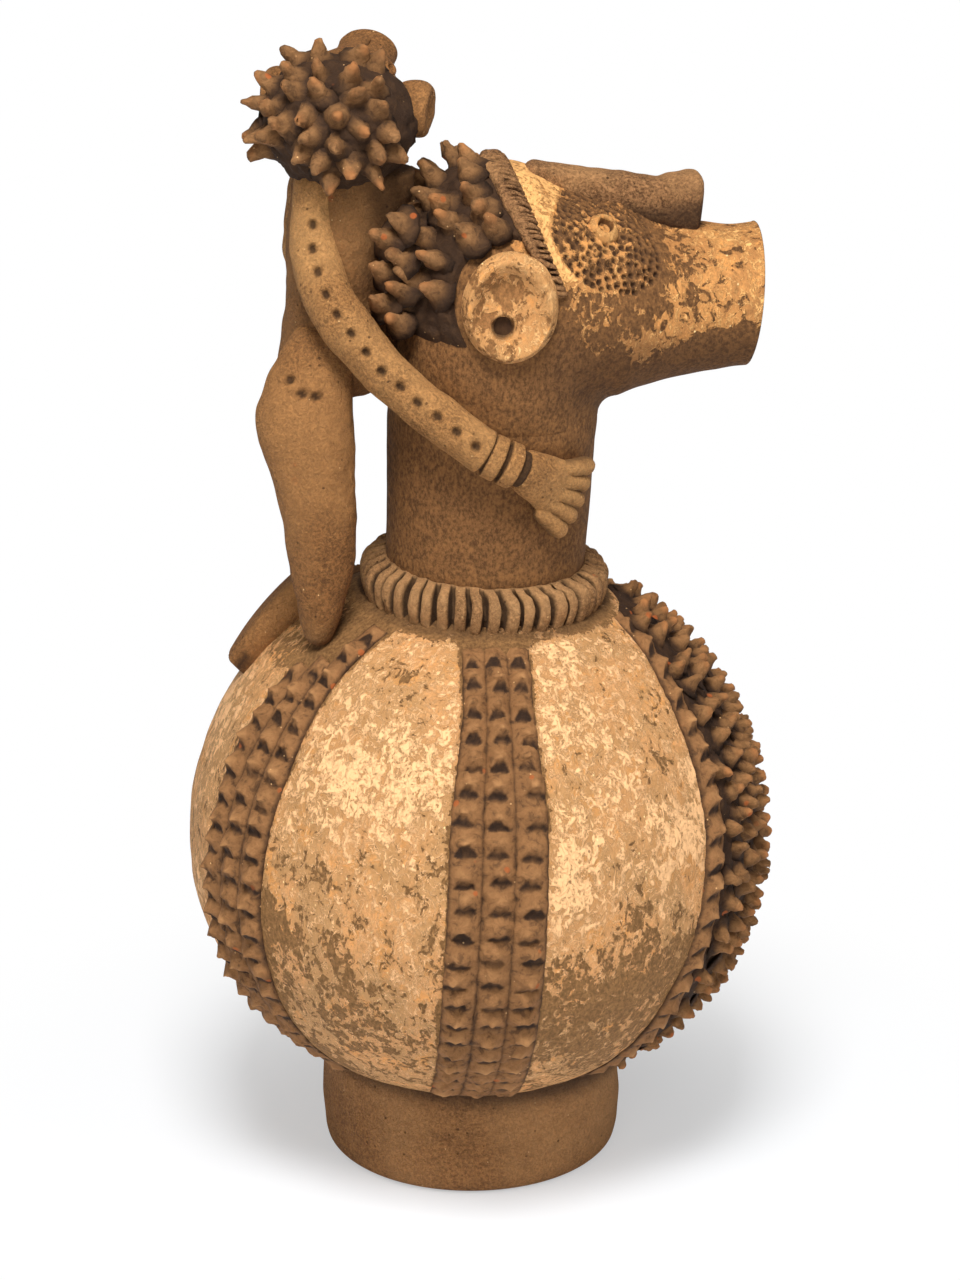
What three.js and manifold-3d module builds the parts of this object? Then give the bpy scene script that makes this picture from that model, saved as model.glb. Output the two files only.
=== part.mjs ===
// A hand-built terracotta vessel: a globular belly on a foot ring, a neck with a notched collar,
// and a head that turns forward into an open snout. A small rider clings to the back of the neck.
// Every coil, slab, roll and pellet of clay is a piece of its own, luted to the piece that carries it.
// Millimetres, +Z up, +X the way the snout points, origin on the floor under the middle.
import * as THREE from "three";
import { mergeVertices } from "three/addons/utils/BufferGeometryUtils.js";
import Module from "manifold-3d";

const wasm = await Module();
wasm.setup();

// How far apart two luted pieces lie
const SEAT = 0.3;

// Belly, a ball of clay in two halves
const BELLY_RADIUS = 121.8;
const BELLY_DEPTH = 113.5;
const BELLY_CENTRE = 144;
const BELLY_WALL = 8;

// Foot ring under the belly
const FOOT_TOP_RADIUS = 64.5;
const FOOT_BASE_RADIUS = 63.5;
const FOOT_WALL = 13;
const FOOT_EDGE = 4;

// Everything above the foot leans forward about the middle of the belly
const LEAN = 2.8;
const NECK_LOW_RADIUS = 41.5;
const NECK_TOP_RADIUS = 44;
const NECK_TOP = 193;
const NECK_WALL = 8;

// Collar of beads over the seam of neck and shoulder
const COLLAR_WIDTH = 11.6;
const COLLAR_HEIGHT = 13;
const COLLAR_BEADS = 44;
const COLLAR_CUT = 3.5;

// Head shell: a half turn of ovals about a line in front of the throat
const THROAT = 6.5;
const FACE_HEIGHT = 89.5;
const FACE_HALF_WIDTH = 40.5;
const CROWN_RISE = 27;
const CHEEK_BULGE = 3.5;
const HEAD_WALL = 8;

// Snout spout
const SNOUT_LENGTH = 55;
const SNOUT_WAIST = 29.6;
const MOUTH_FLARE = 1;
const MOUTH_DROOP = 2.8;
const SNOUT_SAG = 2.6;
const LIP_ROUND = 2;

// Nose bar, from the hairline to above the mouth
const NOSE_HALF_WIDTH = 8.5;
const NOSE_LENGTH = 77;
const NOSE_FALL = 6;

// Eye rings and ear discs
const EYE_RADIUS = 6.2;
const EYE_HEIGHT = 3.6;
const EAR_HALF_WIDTH = 20.5;
const EAR_HALF_HEIGHT = 24.5;
const EAR_THICKNESS = 8;
const EAR_HOLE_RADIUS = 4;
const EAR_HOLE_DROP = 9;

// Hair on the head, horns of clay on a thin skin
const HAIR_SKIN = 3;
const HAIR_LOW = 236;
const HAIRLINE = 0.705;
const HAIRLINE_WIDTH = 6;
const HAIRLINE_HEIGHT = 4.5;
const HAIR_HORN_PITCH = 12.8;
const HAIR_HORN_LENGTH = 10.5;

// Pinched fillets on the belly
const FILLET_WIDTH = 12.2;
const FILLET_SPREAD = 2;
const FILLET_PITCH = 11.8;
const FILLET_BASE = 2.2;
const FILLET_POINT = 7;
const SIDE_BAND = 93;
const BACK_BANDS = { right: 154, left: 138 };
const BORDER = 42;

// Front panel of horns
const PANEL_SKIN = 2.6;
const PANEL_HORN_PITCH = 12;
const PANEL_HORN_LENGTH = 6.6;

// Rider's trunk and legs
const RIDER_BACK = 89;
const TRUNK_HALF_WIDTH = 22;
const TRUNK_LOW = 198;
const TRUNK_HIGH = 298;
const LEG_RADIUS = 15;
const LEG_SPREAD = 21.5;
const FOOT_PLATE_WIDTH = 24;
const FOOT_PLATE_LENGTH = 45;
const FOOT_PLATE_THICKNESS = 8.5;

// Rider's arms and hands
const ARM_RADIUS = 9.6;
const SHOULDER = 268;
const WRIST = 187;
const WRIST_CORE = 7.8;
const BRACELET_WIDTH = 5.6;
const BRACELET_CUT = 1.2;
const PALM_LENGTH = 24;
const PALM_HALF_WIDTH = 12.5;
const FINGER_RADIUS = 3.6;
const FINGER_LENGTHS = [18, 21, 22, 20, 16];

// Rider's head, a small copy of the big one: a skull that runs out into a snout
const RIDER_HEAD_CENTRE = [-69.5, 0, 316.5];
const RIDER_HEAD_DEPTH = 27;
const RIDER_HEAD_HALF_WIDTH = 30;
const RIDER_HEAD_HALF_HEIGHT = 26;
const RIDER_SNOUT_LENGTH = 52;
const RIDER_SNOUT_SHARE = 0.42;
const RIDER_WALL = 4;
const RIDER_TURN = 70;
const RIDER_TILT = 17;
const RIDER_SKIN = 2;
const RIDER_HORN_PITCH = 10.8;
const RIDER_HORN_LENGTH = 8;
const RIDER_EAR_RADIUS = 12;
const RIDER_EAR_REACH = 37;
const RIDER_EAR_AHEAD = 14;

// How finely the round forms are faceted
const BELLY_SIDES = 34;
const HEAD_SIDES = 24;

const rad = THREE.MathUtils.degToRad;
const lerp = THREE.MathUtils.lerp;
const vec = (x, y, z) => new THREE.Vector3(x, y, z);
const clay = (color, roughness) =>
  new THREE.MeshStandardMaterial({ color, roughness, metalness: 0 });
const slip = clay(0xcda26b, 0.85);
const brown = clay(0x8a6743, 0.8);
const dark = clay(0x5d4430, 0.82);

// Solids

// Turns a closed geometry into a solid whose faces point outwards.
function solidOf(geometry) {
  const bare = new THREE.BufferGeometry();
  bare.setAttribute("position", geometry.getAttribute("position"));
  bare.setIndex(geometry.getIndex());
  const merged = mergeVertices(bare, 1e-4);
  const triVerts = new Uint32Array(merged.getIndex().array);
  const vertProperties = merged.getAttribute("position").array;
  const made = new wasm.Manifold(new wasm.Mesh({ numProp: 3, vertProperties, triVerts }));
  if (made.volume() > 0) return made;
  triVerts.reverse();
  return new wasm.Manifold(new wasm.Mesh({ numProp: 3, vertProperties, triVerts }));
}

// Skins a list of rings, each with as many points, into one closed surface. A closed list comes
// back to its first ring, as a hollow wall does; an open one gets a flat end at each side.
function loft(rings, closed = false) {
  const sides = rings[0].length;
  const index = [];
  const spans = closed ? rings.length : rings.length - 1;
  for (let i = 0; i < spans; i++) {
    const here = i * sides;
    const next = ((i + 1) % rings.length) * sides;
    for (let j = 0; j < sides; j++) {
      const k = (j + 1) % sides;
      index.push(here + j, here + k, next + j, here + k, next + k, next + j);
    }
  }
  if (!closed) {
    const last = (rings.length - 1) * sides;
    for (let j = 1; j < sides - 1; j++) {
      index.push(0, j + 1, j);
      index.push(last, last + j, last + j + 1);
    }
  }
  const geometry = new THREE.BufferGeometry();
  geometry.setFromPoints(rings.flat());
  geometry.setIndex(index);
  return solidOf(geometry);
}

// An oval ring of points about a centre, along two unit directions.
function oval(centre, first, second, a, b, sides) {
  return Array.from({ length: sides }, (_, j) => {
    const turn = (2 * Math.PI * j) / sides;
    return centre
      .clone()
      .addScaledVector(first, a * Math.cos(turn))
      .addScaledVector(second, b * Math.sin(turn));
  });
}

// A rod of clay along points: each station has a half width and a half depth, and the depth is
// measured along the direction that outward gives at the station.
function rod(points, wide, deep, outward, sides, grow = 0) {
  const rings = points.map((p, i) => {
    const ahead = points[Math.min(i + 1, points.length - 1)];
    const behind = points[Math.max(i - 1, 0)];
    const along = ahead.clone().sub(behind).normalize();
    const across = along.clone().cross(outward(p)).normalize();
    const out = across.clone().cross(along).normalize();
    const end = i === 0 ? -1 : i === points.length - 1 ? 1 : 0;
    const centre = p.clone().addScaledVector(along, end * grow);
    return oval(centre, out, across, deep[i] + grow, wide[i] + grow, sides);
  });
  return loft(rings);
}

// A turned piece about the vertical line, or about a placed frame's, from [radius, height] points.
function turned(profile, sides, matrix = new THREE.Matrix4()) {
  const points = profile.map(([r, z]) => new THREE.Vector2(r, z));
  const geometry = new THREE.LatheGeometry(points, sides);
  geometry.rotateX(Math.PI / 2);
  geometry.applyMatrix4(matrix);
  return solidOf(geometry);
}

function block(x0, x1, y0, y1, z0, z1) {
  const geometry = new THREE.BoxGeometry(x1 - x0, y1 - y0, z1 - z0);
  geometry.translate((x0 + x1) / 2, (y0 + y1) / 2, (z0 + z1) / 2);
  return solidOf(geometry);
}

// A frame whose Z axis points along a direction.
function standing(at, direction, spin = 0) {
  const turn = new THREE.Quaternion().setFromUnitVectors(
    vec(0, 0, 1),
    direction.clone().normalize(),
  );
  turn.multiply(new THREE.Quaternion().setFromAxisAngle(vec(0, 0, 1), spin));
  return new THREE.Matrix4().compose(at, turn, vec(1, 1, 1));
}

// Rows of cells across a stretch of a surface, with as many cells in a row as its length asks for.
function rowsOf(start, end, count, pitch, lengthAt) {
  return Array.from({ length: count }, (_, i) => {
    const at = (share) => lerp(start, end, (i + share) / count);
    const cells = Math.max(2, Math.round(lengthAt(at(0.5)) / pitch));
    return { from: at(0.06), to: at(0.94), cells };
  });
}

// A sheet of clay pulled up into horns: one horn on the middle of every cell, and a gutter between
// two rows. The sheet is closed by walls that run in to the core, for the piece below to be cut out.
// A closed sheet goes right round, and starts with a horn on its pole.
function hornSheet({ surface, reach, rows, skin, rise, core, pole }) {
  const points = [core];
  const index = [];
  const add = (p) => points.push(p) - 1;
  const sway = (i, j) => 0.12 * Math.sin(7 * i + 3 * j);
  const lines = rows.flatMap(({ from, to, cells }, i) => {
    const along = (u, share) => lerp(-reach(u), reach(u), share);
    const line = (u) =>
      Array.from({ length: cells + 1 }, (_, j) => add(surface(u, along(u, j / cells), skin)));
    const high = line(from);
    const low = line(to);
    for (let j = 0; j < cells; j++) {
      const u = lerp(from, to, 0.5 + sway(i, j));
      const v = along(u, (j + 0.5 + sway(j, i)) / cells);
      const tip = add(surface(u, v, skin + rise(u, v)));
      index.push(high[j], high[j + 1], tip, high[j + 1], low[j + 1], tip);
      index.push(low[j + 1], low[j], tip, low[j], high[j], tip);
    }
    return [high, low];
  });
  for (let i = 0; i + 1 < lines.length; i++) {
    const [a, b] = [lines[i], lines[i + 1]];
    if (!pole) {
      index.push(b.at(-1), a.at(-1), 0);
      index.push(a[0], b[0], 0);
    }
    let j = 0;
    let k = 0;
    while (i % 2 && (j + 1 < a.length || k + 1 < b.length)) {
      const next = (j + 1) / (a.length - 1) <= (k + 1) / (b.length - 1);
      if (k + 1 === b.length || (j + 1 < a.length && next)) {
        index.push(a[j], a[j + 1], b[k]);
        j++;
      } else {
        index.push(a[j], b[k + 1], b[k]);
        k++;
      }
    }
  }
  const first = lines[0];
  const last = lines.at(-1);
  const top = pole ? add(pole) : 0;
  for (let j = 0; j + 1 < first.length; j++) index.push(first[j + 1], first[j], top);
  for (let j = 0; j + 1 < last.length; j++) index.push(last[j], last[j + 1], 0);
  const geometry = new THREE.BufferGeometry();
  geometry.setFromPoints(points);
  geometry.setIndex(index);
  return solidOf(geometry);
}

// The front horns reach further out than the bare back of the belly, so the foot stands a little
// behind the origin, which is on the floor under the middle of the whole piece.
const group = new THREE.Group();
const vessel = new THREE.Group();
vessel.position.x = -(PANEL_SKIN + PANEL_HORN_LENGTH) / 2;
group.add(vessel);
const upper = new THREE.Group();
upper.position.z = BELLY_CENTRE;
upper.rotation.y = rad(LEAN);
upper.updateMatrix();
vessel.add(upper);

// Adds a solid to a group as a named mesh.
function place(parent, name, material, solid) {
  const made = solid.getMesh();
  const geometry = new THREE.BufferGeometry();
  geometry.setAttribute("position", new THREE.BufferAttribute(made.vertProperties, 3));
  geometry.setIndex(new THREE.BufferAttribute(made.triVerts, 1));
  geometry.computeVertexNormals();
  const mesh = new THREE.Mesh(geometry, material);
  mesh.name = name;
  parent.add(mesh);
}

const minus = (solid, ...cutters) => cutters.reduce((rest, cut) => rest.subtract(cut), solid);

// Belly and foot

// Height of the belly's surface above its middle, at a distance from its axis.
const bellyHeight = (r, grow = 0) => Math.sqrt((BELLY_RADIUS + grow) ** 2 - r * r);

// Half of the belly about its middle: a ball above, and a little flatter below. As a cutter, grown
// a little, the upper half reaches down into the lower one.
function bellyHalf(direction, grow) {
  const depth = (direction > 0 ? BELLY_RADIUS : BELLY_DEPTH) + grow;
  const outer = Array.from({ length: 9 }, (_, i) => {
    const turn = (Math.PI * i) / 16;
    return [(BELLY_RADIUS + grow) * Math.cos(turn), direction * depth * Math.sin(turn)];
  });
  const overhang = grow > 0 ? -1 : SEAT;
  const seam = direction > 0 ? overhang : 0;
  outer[0][1] = seam;
  outer[8][0] = 0;
  return turned([[0, seam], ...outer], BELLY_SIDES);
}

function bellyHollow(direction) {
  const depth = (direction > 0 ? BELLY_RADIUS : BELLY_DEPTH) - BELLY_WALL;
  const geometry = new THREE.SphereGeometry(1, BELLY_SIDES / 2, 10);
  geometry.rotateX(Math.PI / 2);
  geometry.scale(BELLY_RADIUS - BELLY_WALL, BELLY_RADIUS - BELLY_WALL, depth);
  return solidOf(geometry);
}

function footRing() {
  const bore = FOOT_TOP_RADIUS - FOOT_WALL;
  const high = BELLY_CENTRE - BELLY_DEPTH + 30;
  const ring = turned(
    [
      [bore, 0],
      [FOOT_BASE_RADIUS - FOOT_EDGE, 0],
      [FOOT_BASE_RADIUS - FOOT_EDGE / 4, FOOT_EDGE / 3],
      [FOOT_BASE_RADIUS, FOOT_EDGE],
      [FOOT_TOP_RADIUS + 0.5, 5 * FOOT_EDGE],
      [FOOT_TOP_RADIUS - 0.5, high],
      [bore, high],
      [bore, 0],
    ],
    BELLY_SIDES,
  );
  return ring.subtract(bellyHalf(-1, SEAT).transform(upper.matrix.toArray()));
}

const neckHole = new THREE.CylinderGeometry(1, 1, 4 * BELLY_WALL, HEAD_SIDES);
neckHole.scale(NECK_LOW_RADIUS - NECK_WALL, 1, NECK_LOW_RADIUS - NECK_WALL);
neckHole.rotateX(Math.PI / 2);
neckHole.translate(0, 0, bellyHeight(NECK_LOW_RADIUS - NECK_WALL));

place(vessel, "foot_ring", brown, footRing());
place(upper, "lower_bowl", slip, bellyHalf(-1, 0).subtract(bellyHollow(-1)));
place(upper, "shoulder_dome", slip, minus(bellyHalf(1, 0), bellyHollow(1), solidOf(neckHole)));

// Neck and collar, in the leaning frame whose origin is the middle of the belly

function neck(grow, wall) {
  const low = NECK_LOW_RADIUS + grow;
  const high = NECK_TOP_RADIUS + grow;
  const middle = lerp(low, high, 0.45);
  const waist = lerp(bellyHeight(low), NECK_TOP, 0.5);
  const outside = [
    [low, bellyHeight(low, SEAT)],
    [middle, waist],
    [high, NECK_TOP - SEAT + grow],
  ];
  const inside = wall
    ? [
        [high - wall, NECK_TOP - SEAT],
        [low - wall, bellyHeight(low - wall, SEAT)],
        outside[0],
      ]
    : [[0, NECK_TOP - SEAT + grow]];
  return turned(wall ? [...outside, ...inside] : [[0, 0], [low, 0], ...outside, ...inside], 28);
}

const neckCutter = neck(SEAT, 0);

const collarInner = NECK_LOW_RADIUS + 2 * SEAT;
const collarFoot = collarInner + COLLAR_WIDTH * 0.72;

// A rope of clay round the foot of the neck, bellied outwards and cut into beads with a blade.
function collar() {
  const foot = bellyHeight(collarInner, 2 * SEAT);
  const section = (turn, cut) => {
    const at = (r, z) => vec(r * Math.cos(turn), r * Math.sin(turn), z);
    return [
      at(collarInner, foot),
      at(collarInner, foot + COLLAR_HEIGHT - cut / 2),
      at(collarInner + COLLAR_WIDTH * 0.75 - cut, foot + COLLAR_HEIGHT * 0.85 - cut),
      at(collarInner + COLLAR_WIDTH - cut, foot + COLLAR_HEIGHT * 0.3),
      at(collarFoot - cut / 2, bellyHeight(collarFoot - cut / 2, 2 * SEAT)),
    ];
  };
  const rings = [];
  for (let i = 0; i < COLLAR_BEADS; i++) {
    const bead = (2 * Math.PI) / COLLAR_BEADS;
    rings.push(section(bead * i, 0));
    rings.push(section(bead * (i + 0.72), 0));
    rings.push(section(bead * (i + 0.86), COLLAR_CUT));
  }
  return loft(rings, true);
}

place(upper, "neck_cylinder", brown, neck(0, NECK_WALL));
place(upper, "collar_ring", brown, collar());

// Head shell and snout

const pivot = vec(NECK_TOP_RADIUS + THROAT, 0, NECK_TOP);
const side = vec(0, 1, 0);

// An oval of the head in the plane at a share of the quarter turn, from level neck to upright face.
function headOval(share, grow) {
  const turn = (share * Math.PI) / 2;
  const outward = vec(-Math.cos(turn), 0, Math.sin(turn));
  const neckSpan = 2 * NECK_TOP_RADIUS;
  const rise = CROWN_RISE * Math.sin(Math.PI * share ** 1.3) ** 2;
  const inner = THROAT + share;
  const outer = inner + lerp(neckSpan, FACE_HEIGHT, share) + rise;
  const a = (outer - inner) / 2 + grow;
  const width = lerp(NECK_TOP_RADIUS, FACE_HALF_WIDTH, share);
  const b = width + CHEEK_BULGE * Math.sin(Math.PI * share) + grow;
  const centre = pivot.clone().addScaledVector(outward, (inner + outer) / 2);
  return { centre, outward, a, b };
}

// A point of the head's surface: angle 0 is the crown line, 180 the throat.
function headPoint(share, angle, grow = 0) {
  const { centre, outward, a, b } = headOval(share, grow);
  return centre
    .addScaledVector(outward, a * Math.cos(rad(angle)))
    .addScaledVector(side, b * Math.sin(rad(angle)));
}

function headNormal(share, angle) {
  const small = 0.01;
  const up = headPoint(share + small, angle).sub(headPoint(share - small, angle));
  const round = headPoint(share, angle + 1).sub(headPoint(share, angle - 1));
  return round.cross(up).normalize();
}

function headRing(share, grow) {
  const { centre, outward, a, b } = headOval(share, grow);
  return oval(centre, outward, side, a, b, HEAD_SIDES);
}

function headShell() {
  const outside = Array.from({ length: 10 }, (_, i) => headRing(i / 9, 0));
  const inside = Array.from({ length: 5 }, (_, i) => headRing(1 - i / 4, -HEAD_WALL));
  return loft([...outside, ...inside], true);
}

function headCutter(grow) {
  return loft(Array.from({ length: 10 }, (_, i) => headRing(i / 9, grow)));
}

// The snout's ovals run on from the face, narrow to a waist and flare at the mouth.
function snoutRing(share, grow) {
  const faceMiddle = NECK_TOP + THROAT + 1 + FACE_HEIGHT / 2;
  const narrow = (from) => SNOUT_WAIST + (from - SNOUT_WAIST) * (1 - share) ** 2.3;
  const flare = MOUTH_FLARE * share ** 4 + grow;
  const drop = 1.6 * share + SNOUT_SAG * Math.sin(Math.PI * share);
  const droop = rad(MOUTH_DROOP * share);
  const centre = vec(pivot.x + SEAT + SNOUT_LENGTH * share, 0, faceMiddle - drop);
  const outward = vec(Math.sin(droop), 0, Math.cos(droop));
  const a = narrow(FACE_HEIGHT / 2) + flare;
  return oval(centre, outward, side, a, narrow(FACE_HALF_WIDTH) + flare, HEAD_SIDES);
}

function snoutSpout() {
  const outside = [0, 0.14, 0.3, 0.5, 0.75, 0.97].map((share) => snoutRing(share, 0));
  const lip = [snoutRing(1, -LIP_ROUND)];
  const inside = [1, 0.4, 0].map((share) => snoutRing(share, -HEAD_WALL));
  return loft([...outside, ...lip, ...inside], true);
}

const headSeat = headCutter(SEAT);
const snoutSeat = loft([-0.02, 0.14, 0.3, 0.5, 0.75, 1].map((share) => snoutRing(share, SEAT)));

place(upper, "head_shell", slip, headShell());
place(upper, "snout_spout", slip, snoutSpout());

// Nose, eyes and ears

function noseBridge() {
  const start = headPoint(HAIRLINE + 0.045, 0);
  const rings = [0, 0.12, 0.35, 0.6, 0.8, 0.95, 1].map((share) => {
    const end = share === 0 || share === 1 ? 0.8 : 1;
    const half = NOSE_HALF_WIDTH * lerp(0.85, 1.1, share) * end;
    const fall = NOSE_FALL * Math.min(1, share / 0.65) - NOSE_FALL * Math.max(0, share - 0.65);
    const top = start.z + 0.8 - fall;
    const low = start.z - 14 - 14 * share ** 2;
    const x = start.x + NOSE_LENGTH * share;
    return [
      vec(x, -half, low),
      vec(x, half, low),
      vec(x, half, top - 3 / end),
      vec(x, half * 0.6, top + (end - 1) * 10),
      vec(x, -half * 0.6, top + (end - 1) * 10),
      vec(x, -half, top - 3 / end),
    ];
  });
  return minus(loft(rings), headSeat, snoutSeat);
}

function eyeRing(sign) {
  const spot = [0.911, 42.5 * sign];
  const profile = [
    [0, -2],
    [EYE_RADIUS, -2],
    [EYE_RADIUS, EYE_HEIGHT * 0.4],
    [EYE_RADIUS * 0.75, EYE_HEIGHT],
    [EYE_RADIUS * 0.5, EYE_HEIGHT * 0.9],
    [EYE_RADIUS * 0.3, EYE_HEIGHT * 0.3],
    [0, EYE_HEIGHT * 0.3],
  ];
  const matrix = standing(headPoint(...spot), headNormal(...spot));
  return minus(turned(profile, 12, matrix), headSeat);
}

const earShare = 0.53;
const earAngle = 76;
const earMiddle = headPoint(earShare, earAngle);

function earDisc(sign) {
  const thick = EAR_THICKNESS;
  const profile = [
    [0, 0],
    [0.88, 0],
    [1, thick * 0.5],
    [0.88, thick],
    [0.5, thick * 0.6],
    [0, thick * 0.55],
  ];
  const stretch = new THREE.Matrix4().makeScale(EAR_HALF_WIDTH, EAR_HALF_HEIGHT, 1);
  const middle = earMiddle.clone();
  middle.y = sign * (middle.y - 1);
  const facing = vec(-0.08, sign, 0);
  const frame = new THREE.Matrix4().makeBasis(
    vec(-sign, -0.08, 0).normalize(),
    vec(0, 0, 1),
    facing.clone().normalize(),
  );
  frame.setPosition(middle);
  const disc = turned(profile, 14, frame.clone().multiply(stretch));
  const hole = new THREE.CylinderGeometry(EAR_HOLE_RADIUS, EAR_HOLE_RADIUS, 4 * thick, 8);
  hole.rotateX(Math.PI / 2);
  hole.translate(-2.5 * sign, -EAR_HOLE_DROP, 0);
  hole.applyMatrix4(frame);
  return minus(disc, solidOf(hole), headSeat);
}

place(upper, "nose_bridge", dark, noseBridge());
for (const [name, sign] of [["right", -1], ["left", 1]]) {
  place(upper, "eye_ring_" + name, dark, eyeRing(sign));
  place(upper, "ear_disc_" + name, slip, earDisc(sign));
}

// Hairline fillet and hair

function hairline() {
  const rings = [];
  const stations = 22;
  for (let i = 0; i <= stations; i++) {
    const angle = lerp(-84, 84, i / stations);
    const reach = headPoint(HAIRLINE, angle).sub(vec(pivot.x, 0, pivot.z));
    const half = HAIRLINE_WIDTH / 2 / Math.hypot(reach.x, reach.z) / (Math.PI / 2);
    const high = HAIRLINE_HEIGHT - (i % 2 ? 0 : 1);
    rings.push([
      headPoint(HAIRLINE - half, angle, SEAT),
      headPoint(HAIRLINE + half, angle, SEAT),
      headPoint(HAIRLINE + half * 0.7, angle, SEAT + high * 0.8),
      headPoint(HAIRLINE - half * 0.5, angle, SEAT + high),
    ]);
  }
  return minus(loft(rings), earColumn(-1, SEAT), earColumn(1, SEAT));
}

// The oval column of the ear's outline, which the hair keeps clear of.
function earColumn(sign, grow) {
  const a = EAR_HALF_WIDTH + grow;
  const b = EAR_HALF_HEIGHT + grow;
  const at = (depth) => vec(earMiddle.x, sign * depth, earMiddle.z);
  const rings = [30, 80].map((depth) => oval(at(depth), vec(1, 0, 0), vec(0, 0, 1), a, b, 16));
  return loft(rings);
}

// The cheek in front of the ear, which is bare.
function cheek(sign) {
  const [near, far] = [30 * sign, 80 * sign].sort((low, high) => low - high);
  const top = earMiddle.z + EAR_HALF_HEIGHT * 0.6;
  return block(earMiddle.x, earMiddle.x + 80, near, far, HAIR_LOW - 30, top);
}

// Everything in front of the hairline: the polar planes turn about the line through the pivot.
function inFrontOf(share) {
  const geometry = new THREE.BoxGeometry(400, 400, 400);
  geometry.translate(200, 0, 200);
  geometry.rotateY(-rad(90 - share * 90));
  geometry.translate(pivot.x, 0, pivot.z);
  return solidOf(geometry);
}

// Rider's head, turned aside and up

const riderCentre = vec(...RIDER_HEAD_CENTRE);
const faceWay = vec(
  Math.cos(rad(RIDER_TURN)) * Math.cos(rad(RIDER_TILT)),
  Math.sin(rad(RIDER_TURN)) * Math.cos(rad(RIDER_TILT)),
  Math.sin(rad(RIDER_TILT)),
);
const leftWay = vec(0, 0, 1).cross(faceWay).normalize();
const crownWay = faceWay.clone().cross(leftWay);
const riderFrame = new THREE.Matrix4().makeBasis(faceWay, leftWay, crownWay);
riderFrame.setPosition(riderCentre);

// A point over the rider's head: reach runs from 0 at the back of the skull, over 1 at its widest,
// to 2 at the mouth, and turn goes round the line of sight from the left ear over the crown.
function riderPoint(reach, turn, height) {
  const polar = rad(90 * Math.min(reach, 1));
  const ahead = Math.max(reach - 1, 0);
  const narrow = lerp(1, RIDER_SNOUT_SHARE, THREE.MathUtils.smoothstep(ahead, 0, 0.9));
  const back = (RIDER_HEAD_DEPTH + height) * Math.cos(polar);
  const wide = (RIDER_HEAD_HALF_WIDTH * narrow + height) * Math.sin(polar);
  const tall = (RIDER_HEAD_HALF_HEIGHT * narrow + height) * Math.sin(polar);
  const x = RIDER_SNOUT_LENGTH * ahead - back;
  return vec(x, wide * Math.cos(rad(turn)), tall * Math.sin(rad(turn))).applyMatrix4(riderFrame);
}

function riderRing(reach, height) {
  return Array.from({ length: 16 }, (_, j) => riderPoint(reach, (360 * j) / 16, height));
}

const riderReaches = [0.08, 0.3, 0.55, 0.8, 1, 1.2, 1.4, 1.65, 1.85, 2];
const riderSeat = loft(riderReaches.map((reach) => riderRing(reach, SEAT)));

function hairCap() {
  const half = 104;
  const start = 0.2;
  const end = HAIRLINE - 0.03;
  const arc = (rad(90 * (end - start)) * (FACE_HEIGHT + CROWN_RISE)) / HAIR_HORN_PITCH;
  const round = (share) => {
    const { a, b } = headOval(share, HAIR_SKIN);
    return rad(2 * half) * Math.sqrt((a * a + b * b) / 2);
  };
  const rise = (share, angle) => {
    const at = headPoint(share, angle, HAIR_SKIN);
    const across = (at.x - earMiddle.x) / (EAR_HALF_WIDTH + 4);
    const over = (at.z - earMiddle.z) / (EAR_HALF_HEIGHT + 4);
    const onEar = Math.abs(at.y) > 25 && Math.hypot(across, over) < 1;
    const onCheek = at.x > earMiddle.x && at.z < earMiddle.z;
    const underTrunk = at.x < -30 && Math.abs(at.y) < TRUNK_HALF_WIDTH * 0.6;
    const tip = headPoint(share, angle, HAIR_SKIN + HAIR_HORN_LENGTH);
    const nearRider = tip.distanceTo(riderCentre) < RIDER_HEAD_HALF_WIDTH + 12;
    const low = at.z < HAIR_LOW + 5;
    const flat = onEar || onCheek || underTrunk || nearRider || low;
    return flat ? 1 : HAIR_HORN_LENGTH * (1 + 0.35 * THREE.MathUtils.smoothstep(-at.x, 15, 40));
  };
  return hornSheet({
    surface: (share, angle, height) => {
      const leaned = headPoint(share, angle, height);
      const horn = Math.max(0, height - HAIR_SKIN - 1);
      return leaned.add(vec(-0.25 * horn, 0, 0.2 * horn));
    },
    reach: () => half,
    rows: rowsOf(start, end, Math.round(arc), HAIR_HORN_PITCH, round),
    skin: HAIR_SKIN,
    rise,
    core: vec(0, 0, NECK_TOP + FACE_HEIGHT / 2),
  });
}

place(upper, "hairline_fillet", dark, hairline());

// Fillets and horns on the belly

// A point over the belly: azimuth from the snout's side, latitude, then a step aside in degrees.
function bellyPoint(azimuth, latitude, aside, height) {
  const a = rad(azimuth);
  const b = rad(latitude);
  const up = vec(Math.cos(a) * Math.cos(b), Math.sin(a) * Math.cos(b), Math.sin(b));
  const east = vec(-Math.sin(a), Math.cos(a), 0);
  const unit = up.multiplyScalar(Math.cos(rad(aside))).addScaledVector(east, Math.sin(rad(aside)));
  const flat = unit.z < 0 ? BELLY_DEPTH / BELLY_RADIUS : 1;
  const out = vec(unit.x, unit.y, unit.z / flat).normalize();
  const skin = vec(unit.x, unit.y, unit.z * flat).multiplyScalar(BELLY_RADIUS);
  return skin.addScaledVector(out, height);
}

const degrees = (length) => THREE.MathUtils.radToDeg(length / BELLY_RADIUS);
const latitudeAt = (radius) => THREE.MathUtils.radToDeg(Math.acos(radius / BELLY_RADIUS));
const bandTop = latitudeAt(collarFoot) - 4;
const bandLow = LEAN - latitudeAt(FOOT_TOP_RADIUS);

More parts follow.
